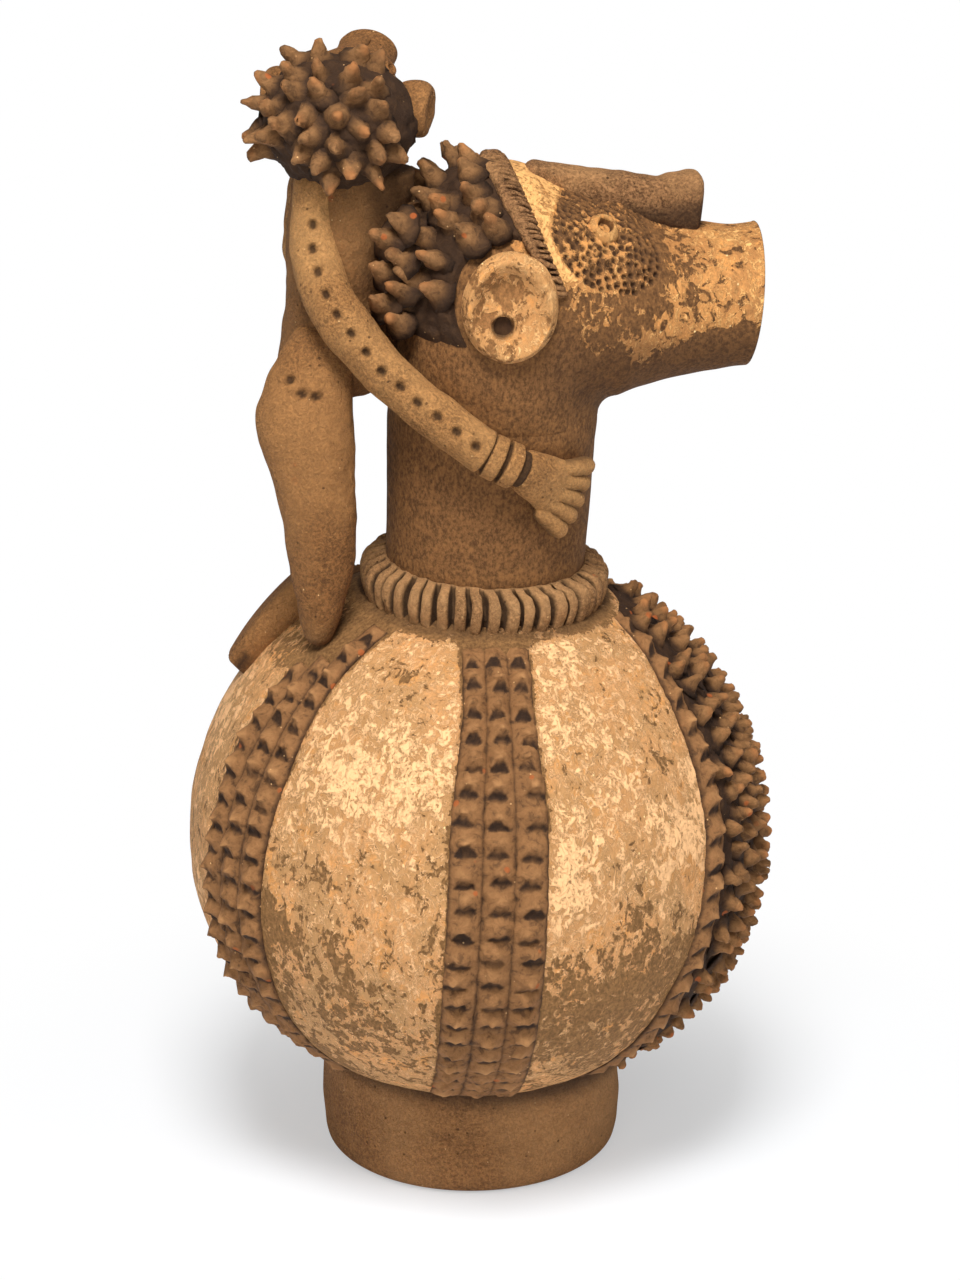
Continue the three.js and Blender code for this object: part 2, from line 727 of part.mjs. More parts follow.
// The clay gets lower towards the foot, and the lanes of a band lie widest apart at the middle.
const shrink = (latitude) => 1 - 0.5 * THREE.MathUtils.smoothstep(-latitude, 15, 50);
const laneWidth = (latitude) =>
  degrees(FILLET_WIDTH + FILLET_SPREAD * Math.cos(rad(latitude)) ** 2);
const borderAt = (latitude) => {
  const narrow = 9 * Math.max(0, (latitude - 40) / 20) ** 1.5;
  return Math.min(BORDER + 4, BORDER - 0.2 * latitude - narrow);
};

// A pinched fillet: between two finger pinches the clay stands up in a point that leans down.
function fillet(azimuthAt, lane, top, low) {
  const count = Math.round((top - low) / degrees(FILLET_PITCH));
  const rings = [];
  const station = (latitude, share, height) => {
    const half = (laneWidth(latitude) - degrees(2 * SEAT)) * 0.5 * share;
    const middle = lane * laneWidth(latitude);
    const at = (offset, level) => bellyPoint(azimuthAt(latitude), latitude, middle + offset, level);
    rings.push([at(-half, 2 * SEAT), at(half, 2 * SEAT), at(0, height * shrink(latitude))]);
  };
  station(top, 0.7, FILLET_BASE);
  for (let i = 0; i < count; i++) {
    const step = (top - low) / count;
    station(top - step * (i + 0.6), 1, FILLET_POINT);
    station(top - step * (i + 0.95), 0.85, FILLET_BASE);
  }
  return loft(rings);
}

function hornPanel() {
  const top = bandTop - 1.5;
  const low = bandLow + 2;
  const count = Math.round((top - low) / degrees(PANEL_HORN_PITCH));
  const round = (latitude) => rad(2 * borderAt(latitude)) * BELLY_RADIUS * Math.cos(rad(latitude));
  const sheet = hornSheet({
    surface: (latitude, azimuth, height) => bellyPoint(azimuth, latitude, 0, height),
    reach: (latitude) => {
      const border = laneWidth(latitude) * 0.5 + degrees(2 * SEAT);
      return borderAt(latitude) - border / Math.cos(rad(latitude));
    },
    rows: rowsOf(top, low, count, PANEL_HORN_PITCH, round),
    skin: PANEL_SKIN,
    rise: (latitude) => PANEL_HORN_LENGTH * shrink(latitude),
    core: vec(0, 0, 0),
  });
  const behind = block(-200, 0, -200, 200, -200, 200);
  return minus(sheet, bellyHalf(1, 2 * SEAT), bellyHalf(-1, 2 * SEAT), behind);
}

place(upper, "front_horn_panel", dark, hornPanel());
for (const [name, sign] of [["right", -1], ["left", 1]]) {
  const border = fillet((latitude) => sign * borderAt(latitude), 0, bandTop, bandLow);
  place(upper, "front_border_fillet_" + name, dark, border);
  for (const lane of [-1, 0, 1]) {
    const band = fillet(() => sign * SIDE_BAND, lane, bandTop, bandLow);
    place(upper, "side_fillet_" + name + "_" + (lane + 2), dark, band);
  }
}

// Rider's trunk and legs

// Level ovals stacked up: each station is [height, back, front, middle, half width].
function stack(stations, sides, grow = 0) {
  const rings = stations.map(([z, back, front, middle, half], i) => {
    const end = i === 0 ? -1 : i === stations.length - 1 ? 1 : 0;
    const centre = vec((back + front) / 2, middle, z + end * grow);
    return oval(centre, vec(1, 0, 0), side, (front - back) / 2 + grow, half + grow, sides);
  });
  return loft(rings);
}

const neckBack = -NECK_TOP_RADIUS;

function trunk(grow) {
  const w = TRUNK_HALF_WIDTH;
  const at = (share) => lerp(TRUNK_LOW, TRUNK_HIGH, share);
  return stack(
    [
      [at(0), -RIDER_BACK + 2, neckBack - 12, 0, w * 0.55],
      [at(0.06), -RIDER_BACK - 3.5, neckBack - 3, 0, w * 0.8],
      [at(0.2), -RIDER_BACK - 2, neckBack + 3, 0, w * 0.95],
      [at(0.42), -RIDER_BACK, neckBack + 2, 0, w * 0.92],
      [at(0.62), -RIDER_BACK - 0.5, neckBack - 4, 0, w],
      [at(0.78), -RIDER_BACK, neckBack - 9, 0, w * 0.9],
      [at(1), -RIDER_BACK + 2, neckBack - 12, 0, w * 0.7],
    ],
    12,
    grow,
  );
}

const KNEE_BACK = 70.5;
const knee = bellyHeight(Math.hypot(KNEE_BACK, LEG_SPREAD));

// A bent leg, from the knee's point on the shoulder up to the hip. The left hip bulges less.
function leg(sign, grow) {
  const r = LEG_RADIUS;
  const y = sign * LEG_SPREAD;
  const slim = sign > 0 ? 0.62 : 1;
  const at = (share) => lerp(knee - 4, TRUNK_LOW + 17, share);
  const back = (bulge) => -KNEE_BACK - bulge * slim;
  return stack(
    [
      [at(0), back(2), -68.5, y, 2],
      [at(0.05), back(5.5), -66, y, r * 0.35],
      [at(0.14), back(10), -63, y, r * 0.66],
      [at(0.27), back(13.5), -58.5, y, r * 0.9],
      [at(0.42), back(17), -58.2, y, r],
      [at(0.6), back(21.5), -59.2, y, r * 1.03],
      [at(0.78), back(28), -61, y * 0.98, r * 1.06],
      [at(0.89), back(31), -61.9, y * 0.93, r * 1.04],
      [at(0.96), back(29), -62, y * 0.85, r * 0.85],
      [at(1), back(24), -64, y * 0.72, r * 0.55],
    ],
    10,
    grow,
  );
}

// Whatever lies inside the belly's surface, as a ball.
function ball(radius) {
  const geometry = new THREE.SphereGeometry(radius, 48, 32);
  geometry.rotateX(Math.PI / 2);
  return solidOf(geometry);
}

const bellySeat = ball(BELLY_RADIUS + 3 * SEAT);
const trunkSeat = trunk(SEAT);

// The foot that trails down the back of the belly behind the left knee.
function footPlate(sign) {
  const near = sign * (LEG_SPREAD + 2 - FOOT_PLATE_WIDTH / 2);
  const far = sign * (LEG_SPREAD + 2 + FOOT_PLATE_WIDTH / 2);
  const rings = [];
  for (const share of [0, 0.3, 0.65, 0.96, 1]) {
    const thick = FOOT_PLATE_THICKNESS * lerp(1.75, 1, share) * (share === 1 ? 0.8 : 1);
    const narrow = share === 1 ? 1.5 * sign : 0;
    const slide = rad(lerp(34.5, 34.5 + degrees(FOOT_PLATE_LENGTH), share));
    const point = (y, height) => {
      const r = Math.sqrt(BELLY_RADIUS ** 2 - y * y);
      const low = vec(-r * Math.sin(slide), y, r * Math.cos(slide));
      return low.multiplyScalar(1 + height / BELLY_RADIUS);
    };
    rings.push([
      point(near + narrow, 2 * SEAT),
      point(far - narrow, 2 * SEAT),
      point(far - narrow, thick),
      point(near + narrow, thick),
    ]);
  }
  return loft(rings);
}

const hairBack = headCutter(HAIR_SKIN + 1.5);
place(upper, "rider_trunk", brown, minus(trunk(0), hairBack, neckCutter, riderSeat));
const legs = { right: leg(-1, 0), left: leg(1, 0) };
const kneeSeat = { right: leg(-1, SEAT), left: leg(1, SEAT) };
for (const [name, sign] of [["right", -1], ["left", 1]]) {
  place(upper, "rider_leg_" + name, brown, minus(legs[name], trunkSeat, bellySeat));
}
place(upper, "rider_foot_left", brown, minus(footPlate(1), kneeSeat.left, bellySeat));

// Back bands: a lane starts below the knee that stands in its way

const kneeLatitude = latitudeAt(Math.hypot(KNEE_BACK, LEG_SPREAD));
const laneTops = {
  right: [kneeLatitude - 6, kneeLatitude - 3, bandTop],
  left: [bandTop, bandTop, bandTop - 7],
};
for (const [name, sign] of [["right", -1], ["left", 1]])
  for (const lane of [-1, 0, 1]) {
    const band = fillet(() => sign * BACK_BANDS[name], lane, laneTops[name][lane + 1], bandLow);
    place(upper, "back_fillet_" + name + "_" + (lane + 2), dark, band);
  }

// Rider's arms, which wind down round the neck like a screw thread

const fromAxis = (p) => vec(p.x, p.y, 0);
const ARM_MEETS_NECK = 32;
const CUFF = 79;

// A point over the neck: the angle is counted from the back, and the depth from the neck's skin.
function neckPoint(sign, angle, height, depth) {
  const r = NECK_TOP_RADIUS + depth;
  return vec(-r * Math.cos(rad(angle)), sign * r * Math.sin(rad(angle)), height);
}

const armSlope = (NECK_TOP + 16 - WRIST) / (CUFF + 7 - ARM_MEETS_NECK);
const armHeight = (angle) => WRIST + (CUFF + 7 - angle) * armSlope;
const perMillimetre = 1 / Math.hypot(rad(NECK_TOP_RADIUS + ARM_RADIUS), armSlope);
const braceletStart = (k) =>
  CUFF + (BRACELET_CUT + k * (BRACELET_WIDTH + BRACELET_CUT)) * perMillimetre;
const wristEnd = braceletStart(2);
const hug = ARM_RADIUS - 1;

function arm(sign, grow = 0) {
  const back = -RIDER_BACK;
  const upperArm = [
    [back + 15, 10, SHOULDER + 5, 9],
    [back + 15, 19, SHOULDER - 9, ARM_RADIUS + 1.5],
    [back + 17, 28, SHOULDER - 25, ARM_RADIUS + 1],
    [back + 23, 33.5, SHOULDER - 36, ARM_RADIUS + 0.4],
    [back + 33, 31.5, SHOULDER - 48, ARM_RADIUS],
  ];
  const points = upperArm.map(([x, y, z]) => vec(x, sign * y, z));
  const radii = upperArm.map((station) => station[3]);
  const wrist = [CUFF - 1, CUFF, CUFF + 0.3, braceletStart(1), wristEnd];
  for (const angle of [ARM_MEETS_NECK, 47, 63, ...wrist]) {
    points.push(neckPoint(sign, angle, armHeight(angle), hug));
    radii.push(angle > CUFF ? WRIST_CORE : ARM_RADIUS);
  }
  return rod(points, radii, radii, fromAxis, 8, grow);
}

function bracelet(sign, k) {
  const from = braceletStart(k);
  const angles = [from, from + BRACELET_WIDTH * perMillimetre];
  const ring = (angle, radius) => {
    const p = neckPoint(sign, angle, armHeight(angle), hug);
    const along = neckPoint(sign, angle + 1, armHeight(angle + 1), hug).sub(p).normalize();
    const across = along.clone().cross(fromAxis(p)).normalize();
    return oval(p, across.clone().cross(along).normalize(), across, radius, radius, 8);
  };
  const outer = ARM_RADIUS * 0.97;
  const inner = WRIST_CORE + SEAT + 0.2;
  const rings = [ring(angles[0], outer), ring(angles[1], outer)];
  return loft([...rings, ring(angles[1], inner), ring(angles[0], inner)], true);
}

const handStart = wristEnd + SEAT * perMillimetre;
const palmHeight = (angle) => armHeight(handStart) - (angle - handStart) * 0.54;
const palmEnd = handStart + PALM_LENGTH * perMillimetre;

function palm(sign, grow) {
  const shares = [0, 0.03, 0.4, 1];
  const wide = shares.map((share) => lerp(ARM_RADIUS - 1, PALM_HALF_WIDTH, share));
  const deep = shares.map((share) => lerp(ARM_RADIUS - 1.5, FINGER_RADIUS + 0.8, share));
  const points = shares.map((share, i) => {
    const angle = lerp(handStart, palmEnd, share);
    return neckPoint(sign, angle, palmHeight(angle), deep[i] - 0.8);
  });
  return rod(points, wide, deep, fromAxis, 8, grow);
}

function hand(sign) {
  const fingers = FINGER_LENGTHS.map((length, i) => {
    const from = palmEnd + 9 - 4.6 * i;
    const level = palmHeight(palmEnd) + 8.6 - 4.5 * i;
    const dip = rad(17 + 7 * i);
    const lengths = [-5, length * 0.7, length];
    const sizes = [1, 1.05, 0.5].map((share) => share * FINGER_RADIUS);
    const line = lengths.map((along) => {
      const angle = from + (along * Math.cos(dip)) / rad(NECK_TOP_RADIUS + FINGER_RADIUS);
      return neckPoint(sign, angle, level - along * Math.sin(dip), FINGER_RADIUS - 1);
    });
    return rod(line, sizes, sizes, fromAxis, 5);
  });
  return fingers.reduce((all, finger) => all.add(finger), palm(sign, 0));
}

const snug = (solid) => minus(solid, neckCutter, headSeat);
for (const [name, sign] of [["right", -1], ["left", 1]]) {
  const palmSeat = palm(sign, SEAT);
  place(upper, "rider_arm_" + name, brown, minus(snug(arm(sign)), trunkSeat, palmSeat));
  place(upper, "rider_hand_" + name, brown, snug(hand(sign)));
  for (const k of [0, 1]) {
    const ring = snug(bracelet(sign, k)).subtract(palmSeat);
    place(upper, "rider_bracelet_" + name + "_" + (k + 1), brown, ring);
  }
}

// Hair of the big head, which grows round whatever clings to it

const hairSeats = [-1, 1].flatMap((sign) => [earColumn(sign, SEAT), cheek(sign), arm(sign, SEAT)]);
const belowHair = block(-200, 200, -200, 200, 0, HAIR_LOW);
const hairFront = inFrontOf(HAIRLINE - 0.028);
const hair = minus(hairCap(), headSeat, belowHair, hairFront, trunkSeat, ...hairSeats);
place(upper, "hair", dark, hair);

// Rider's head

function riderEar(sign, grow) {
  const r = RIDER_EAR_RADIUS + grow;
  const low = RIDER_HEAD_HALF_WIDTH * 0.7 - grow;
  const profile = [
    [0, low],
    [r * 0.8, low],
    [r, RIDER_EAR_REACH - 2.5],
    [r * 0.85, RIDER_EAR_REACH + grow],
    [r * 0.4, RIDER_EAR_REACH - 2 + 3 * grow],
    [0, RIDER_EAR_REACH - 2.5 + 3 * grow],
  ];
  const at = riderCentre.clone().addScaledVector(faceWay, RIDER_EAR_AHEAD);
  return turned(profile, 12, standing(at, leftWay.clone().multiplyScalar(sign)));
}

function riderHair() {
  const spacing = RIDER_HORN_PITCH / (Math.PI / 2) / (RIDER_HEAD_DEPTH + RIDER_SKIN);
  const start = spacing * 0.5;
  const end = 1.2;
  const rise = (reach, turn) => {
    const at = riderPoint(reach, turn, RIDER_SKIN);
    const tip = riderPoint(reach, turn, RIDER_SKIN + RIDER_HORN_LENGTH);
    const onEar = reach > 0.85 && Math.abs(Math.cos(rad(turn))) > 0.75;
    const onTrunk = at.z < TRUNK_HIGH + 5 && Math.abs(at.y) < TRUNK_HALF_WIDTH;
    const nearHead = tip.x > -NECK_TOP_RADIUS && at.z < NECK_TOP + FACE_HEIGHT + CROWN_RISE;
    return onEar || onTrunk || nearHead ? 1 : RIDER_HORN_LENGTH;
  };
  const widest = 2 * Math.PI * (RIDER_HEAD_HALF_HEIGHT + RIDER_SKIN);
  const sheet = hornSheet({
    surface: riderPoint,
    reach: () => 180,
    rows: rowsOf(start, end, Math.round((end - start) / spacing), RIDER_HORN_PITCH, (reach) =>
      widest * Math.sin(rad(90 * Math.min(reach, 1))),
    ),
    skin: RIDER_SKIN,
    rise,
    core: riderCentre,
    pole: riderPoint(0, 0, RIDER_SKIN + RIDER_HORN_LENGTH),
  });
  const ears = [-1, 1].map((sign) => riderEar(sign, SEAT));
  return minus(sheet, riderSeat, ...ears, trunkSeat, headCutter(HAIR_SKIN + 1.5));
}

function riderNose() {
  const spots = [1.3, 1.5, 1.7, 1.85];
  const points = spots.map((reach) => riderPoint(reach, 90, 0.5));
  const wide = spots.map((_, i) => 3 + 0.3 * i);
  const deep = spots.map(() => 2.2);
  return rod(points, wide, deep, () => crownWay, 8).subtract(riderSeat);
}

function riderEye(sign) {
  const at = riderPoint(1.42, 90 - 48 * sign, 0);
  const profile = [
    [0, -3],
    [3.4, -3],
    [3.4, 1],
    [2.2, 2],
    [0, 1.2],
  ];
  const out = riderPoint(1.42, 90 - 48 * sign, 5).sub(at);
  return turned(profile, 8, standing(at, out)).subtract(riderSeat);
}

function riderHead() {
  const outside = riderReaches.map((reach) => riderRing(reach, 0));
  const mouth = [2, 1.55].map((reach) => riderRing(reach, -RIDER_WALL));
  return loft([...outside, ...mouth]).subtract(headCutter(HAIR_SKIN + 1.5));
}

place(upper, "rider_head", brown, riderHead());
place(upper, "rider_hair", dark, riderHair());
place(upper, "rider_nose", brown, riderNose());
for (const [name, sign] of [["right", -1], ["left", 1]]) {
  place(upper, "rider_ear_" + name, brown, riderEar(sign, 0).subtract(riderSeat));
  place(upper, "rider_eye_" + name, brown, riderEye(sign));
}

export default group;
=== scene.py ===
# A hand-built terracotta vessel: a globular belly on a foot ring, a beaded collar, a head that runs out
# into an open snout, and a small rider who clings to the back of the neck.
import math

import bpy
import numpy as np
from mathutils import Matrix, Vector


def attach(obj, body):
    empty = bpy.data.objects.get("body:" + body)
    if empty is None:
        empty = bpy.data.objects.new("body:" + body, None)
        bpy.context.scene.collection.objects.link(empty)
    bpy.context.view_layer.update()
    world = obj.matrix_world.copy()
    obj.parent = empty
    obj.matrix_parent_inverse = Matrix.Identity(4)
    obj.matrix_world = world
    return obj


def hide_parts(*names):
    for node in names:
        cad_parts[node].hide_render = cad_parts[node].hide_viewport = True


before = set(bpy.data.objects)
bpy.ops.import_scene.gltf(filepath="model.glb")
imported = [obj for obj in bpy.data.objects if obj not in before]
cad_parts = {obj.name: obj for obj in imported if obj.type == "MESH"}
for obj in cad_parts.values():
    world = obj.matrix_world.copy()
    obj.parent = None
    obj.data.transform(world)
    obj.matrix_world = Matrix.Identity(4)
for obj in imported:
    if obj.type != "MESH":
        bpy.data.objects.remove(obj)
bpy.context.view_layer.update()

# Camera. A long lens at the height of two vessels looks down a little on the right side of the piece,
# and a little from behind.
SENSOR = 36.0
FOCUS = 5030
TALL = 1280
camera = bpy.data.objects.new("camera", bpy.data.cameras.new("camera"))
bpy.context.collection.objects.link(camera)
camera.data.sensor_fit = "VERTICAL"
camera.data.sensor_height = SENSOR
camera.data.lens = SENSOR * FOCUS / TALL  # focus and picture height, both in pixels
camera.location = (-0.2790, -1.9811, 1.0100)
sight = Vector((0.12971, 0.92294, -0.36244))
camera.rotation_euler = sight.to_track_quat("-Z", "Y").to_euler()
bpy.context.scene.camera = camera
bpy.context.scene.view_settings.view_transform = "Standard"


# Studio. A white sheet lies under the vessel and fades into a white background, and large soft lamps
# hang above it, beside the camera and at the right of the picture.
def soft_lamp(name, place, width, power):
    """A square soft lamp at a place, turned to face the middle of the vessel."""
    data = bpy.data.lights.new(name, "AREA")
    data.size = width
    data.energy = power
    lamp = bpy.data.objects.new(name, data)
    lamp.location = place
    lamp.rotation_euler = (Vector((0, 0, 0.25)) - Vector(place)).to_track_quat("-Z", "Y").to_euler()
    bpy.context.collection.objects.link(lamp)


class Wire:
    """One socket of a shader. Sums and products with it add Math nodes, and a number may stand on
    either side."""

    def __init__(self, shade, socket):
        self.shade, self.socket = shade, socket

    def reckon(self, operation, *values):
        """Adds a Math node that works out an operation on two values."""
        return self.shade.node("ShaderNodeMath", dict(enumerate(values)), operation=operation)

    def __add__(self, other):
        return self.reckon("ADD", self, other)

    def __sub__(self, other):
        return self.reckon("SUBTRACT", self, other)

    def __rsub__(self, other):
        return self.reckon("SUBTRACT", other, self)

    def __mul__(self, other):
        return self.reckon("MULTIPLY", self, other)

    __radd__ = __add__
    __rmul__ = __mul__

    def rise(self, low, high, start=0.0):
        """A soft step, from start where the value is below low to 1 where it is above high."""
        values = {0: self, 1: low, 2: high, 3: start}
        return self.shade.node("ShaderNodeMapRange", values, interpolation_type="SMOOTHSTEP")

    def ridge(self, at, width):
        """1 where the value is at, 0 further than width away on either side."""
        return self.rise(at - width, at) * (1 - self.rise(at, at + width))


class Shade:
    """The nodes of a material or of the world."""

    def __init__(self, owner):
        owner.use_nodes = True
        self.owner, self.tree = owner, owner.node_tree

    def node(self, kind, values=(), out=0, **settings):
        """Adds a node: its settings first, then the values or links of its sockets."""
        made = self.tree.nodes.new(kind)
        for key, value in settings.items():
            setattr(made, key, value)
        for key, value in dict(values).items():
            if isinstance(value, Wire):
                self.tree.links.new(value.socket, made.inputs[key])
            else:
                made.inputs[key].default_value = value
        return Wire(self, made.outputs[out])

    def feed(self, name, **wires):
        """Links wires to the sockets of a node that is there already."""
        for socket, wire in wires.items():
            self.tree.links.new(wire.socket, self.tree.nodes[name].inputs[socket.replace("_", " ")])


soft_lamp("lamp_above", (-0.2, -0.85, 1.8), 0.6, 40)
soft_lamp("lamp_front", (-0.9, -2.0, 0.9), 1.0, 9)
soft_lamp("lamp_right", (1.5, -1.0, 0.9), 0.9, 5)

# The world lights the clay weakly, and is plain white where the camera sees it.
room = Shade(bpy.data.worlds.new("white room"))
bpy.context.scene.world = room.owner
room.tree.nodes["Background"].inputs["Color"].default_value = (1, 1, 1, 1)
seen = room.node("ShaderNodeLightPath", out="Is Camera Ray")
room.feed("Background", Strength=room.node("ShaderNodeMapRange", {0: seen, 3: 0.2}))

# The sheet glows white for the camera alone, more and more with the way from the vessel's foot.
paper = Shade(bpy.data.materials.new("white paper"))
matt = paper.tree.nodes["Principled BSDF"]
matt.inputs["Base Color"].default_value = (0.88, 0.9, 0.93, 1)
matt.inputs["Roughness"].default_value = 0.9
way = paper.node("ShaderNodeTexCoord", out="Object")
way = paper.node("ShaderNodeVectorMath", {0: way}, "Value", operation="LENGTH")
fade = way.rise(0.075, 0.29, 0.45) * paper.node("ShaderNodeLightPath", out="Is Camera Ray")
sides = {0: fade, 1: Wire(paper, matt.outputs[0]), 2: paper.node("ShaderNodeEmission")}
paper.feed("Material Output", Surface=paper.node("ShaderNodeMixShader", sides))
sheet = bpy.data.meshes.new("sheet")
sheet.from_pydata([(-4, -4, 0), (4, -4, 0), (4, 4, 0), (-4, 4, 0)], [], [(0, 1, 2, 3)])
sheet.materials.append(paper.owner)
floor = bpy.data.objects.new("sheet", sheet)
floor.location.z = -0.0003
bpy.context.collection.objects.link(floor)


# Foot ring. A thick coil of coarse brown clay, smoothed with a wet hand, that the belly was set on. Its
# lower edge is worn round where the vessel stands.
def closed(rings, loop=False):
    """A closed surface through rings of points. The first and the last ring are closed by a flat face, or
    joined to each other where the rings make a loop, as the two sides of a wall do."""
    rows, sides = rings.shape[:2]
    i, j = np.meshgrid(np.arange(rows - (not loop)), np.arange(sides), indexing="ij")
    k, m = (i + 1) % rows, (j + 1) % sides
    quads = np.stack([i * sides + j, i * sides + m, k * sides + m, k * sides + j], -1).reshape(-1, 4)
    ends = [] if loop else [np.arange(sides)[::-1], (rows - 1) * sides + np.arange(sides)]
    return rings.reshape(-1, 3), quads, ends


def clay_piece(name, shells, clay, slot, *nodes, **layers):
    """A piece in metres from closed surfaces in millimetres. The volume that each surface encloses is
    summed, and where it comes out negative its faces are turned round, so that all of them face outwards.
    Each layer is a value at every point, surface by surface, that the clay reads."""
    points, loops, sizes = [], [], []
    first = 0
    for p, quads, caps in shells:
        fans = [np.stack([np.full(len(c) - 2, c[0]), c[1:-1], c[2:]], -1) for c in caps]
        corners = np.concatenate([quads[:, [0, 1, 2]], quads[:, [0, 2, 3]], *fans])
        a, b, c = ((p - p.mean(0))[corners[:, n]] for n in range(3))
        if np.einsum("ij,ij->", a, np.cross(b, c)) < 0:
            quads, caps = quads[:, ::-1], [cap[::-1] for cap in caps]
        points.append(p * 0.001)
        loops += [quads.ravel() + first, *(cap + first for cap in caps)]
        sizes += [np.full(len(quads), 4), *(np.array([len(cap)]) for cap in caps)]
        first += len(p)
    points, loops, sizes = (np.concatenate(each) for each in (points, loops, sizes))
    data = bpy.data.meshes.new(name)
    data.vertices.add(len(points))
    data.vertices.foreach_set("co", points.ravel())
    data.loops.add(len(loops))
    data.loops.foreach_set("vertex_index", loops)
    data.polygons.add(len(sizes))
    data.polygons.foreach_set("loop_start", np.cumsum(sizes) - sizes)
    data.polygons.foreach_set("use_smooth", np.ones(len(sizes), bool))
    data.update(calc_edges=True)
    data.validate()
    data.materials.append(clay)
    for layer, values in layers.items():
        held = data.attributes.new(layer, "FLOAT", "POINT")
        held.data.foreach_set("value", np.concatenate([np.ravel(v) for v in values]).astype(np.float32))
    piece = bpy.data.objects.new(name, data)
    bpy.context.collection.objects.link(piece)
    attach(piece, "root")
    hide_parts(*nodes)


def smooth(low, high, value):
    """Rises from 0 at low to 1 at high, level at both ends."""
    t = np.clip((value - low) / (high - low), 0, 1)
    return t * t * (3 - 2 * t)


def soften(line, span):
    """A running average along the first axis, weighted like a bell curve that is span steps wide. The two
    ends stay where they are, because the line is carried on past them turned about its end points."""
    reach = round(3 * span)
    bell = np.exp(-0.5 * (np.arange(-reach, reach + 1) / span) ** 2)
    padded = np.concatenate([2 * line[0] - line[reach:0:-1], line, 2 * line[-1] - line[-2 : -reach - 2 : -1]])
    return sum(w * padded[k : k + len(line)] for k, w in enumerate(bell / bell.sum()))


def drawn(points, count, soft):
    """A line through the given points, cut into equal steps, its corners rounded over soft steps."""
    points = np.asarray(points, float)
    along = np.concatenate([[0], np.cumsum(np.linalg.norm(np.diff(points, axis=0), axis=1))])
    at = np.linspace(0, along[-1], count)
    return soften(np.stack([np.interp(at, along, column) for column in points.T], -1), soft)


def lumps(points, wave, seed, octaves=3):
    """The unevenness a hand leaves: sine waves in random directions, each octave half as long and half as
    high as the one before, from about -1 to 1."""
    rng = np.random.default_rng(seed)
    total = np.zeros(points.shape[:-1])
    for octave in range(octaves):
        ways = rng.normal(size=(6, 3))
        ways *= 2 * math.pi * 2**octave / (wave * np.linalg.norm(ways, axis=1, keepdims=True))
        total += 0.5**octave * np.sin(points @ ways.T + rng.uniform(0, 2 * math.pi, 6)).sum(-1)
    return total / 3


def circle(count):
    """Even steps once round a circle, in radians."""
    return np.linspace(0, 2 * math.pi, count, endpoint=False)


def spun(profile, sides):
    """Rings round the upright line: each point of the profile is a radius and a height."""
    turn = circle(sides)
    r, z = profile[:, :1], profile[:, 1:]
    return np.stack([r * np.cos(turn), r * np.sin(turn), z + 0 * turn], -1)


def linear(colour):
    """A colour as a picture gives it, red, green and blue of 0 to 255, made linear. A wire stays a wire."""
    if isinstance(colour, Wire):
        return colour
    return tuple(((c / 255 + 0.055) / 1.055) ** 2.4 for c in colour) + (1,)


class Clay(Shade):
    """A matt clay whose pattern lies in the object's own coordinates, in metres."""

    def __init__(self, name):
        super().__init__(bpy.data.materials.new(name))
        self.tree.nodes["Principled BSDF"].inputs["Specular IOR Level"].default_value = 0.25
        self.place = self.node("ShaderNodeTexCoord", out="Object")

    def noise(self, scale, detail, rough, bent=0.0):
        """Cloudy noise round 0.5. Its lumps are about one metre long, divided by the scale."""
        values = {
            "Vector": self.place, "Scale": scale, "Detail": detail, "Roughness": rough, "Distortion": bent,
        }
        return self.node("ShaderNodeTexNoise", values)

    def specks(self, scale, size, share):
        """Round specks in some of the cells of a random net: 1 on a speck, 0 beside it."""
        near = self.node("ShaderNodeTexVoronoi", {"Vector": self.place, "Scale": scale}, "Distance")
        colour = Wire(self, near.socket.node.outputs["Color"])
        pick = self.node("ShaderNodeSeparateColor", {0: colour}, "Red")
        return (1 - near.rise(size * 0.6, size)) * pick.rise(1 - share, 1 - share + 0.02)

    def mix(self, factor, a, b):
        """Goes from colour a, where the factor is 0, to colour b, where it is 1."""
        return self.node("ShaderNodeMix", {0: factor, 6: linear(a), 7: linear(b)}, 2, data_type="RGBA")

    def coats(self, colour, *coats):
        """Lays coats over a colour, one after another: each is a factor and the colour it goes to."""
        for factor, coat in coats:
            colour = self.mix(factor, colour, coat)
        return colour

    def layer(self, name):
        """A value that the piece carries at each of its points."""
        return self.node("ShaderNodeAttribute", out="Fac", attribute_name=name)

    def done(self, colour, height, depth, roughness):
        """Links the colour, the roughness and a relief whose full height is the given depth in metres."""
        bump = self.node("ShaderNodeBump", {"Strength": 1.0, "Distance": depth, "Height": height})
        self.feed("Principled BSDF", Base_Color=colour, Roughness=roughness, Normal=bump)
        return self.owner


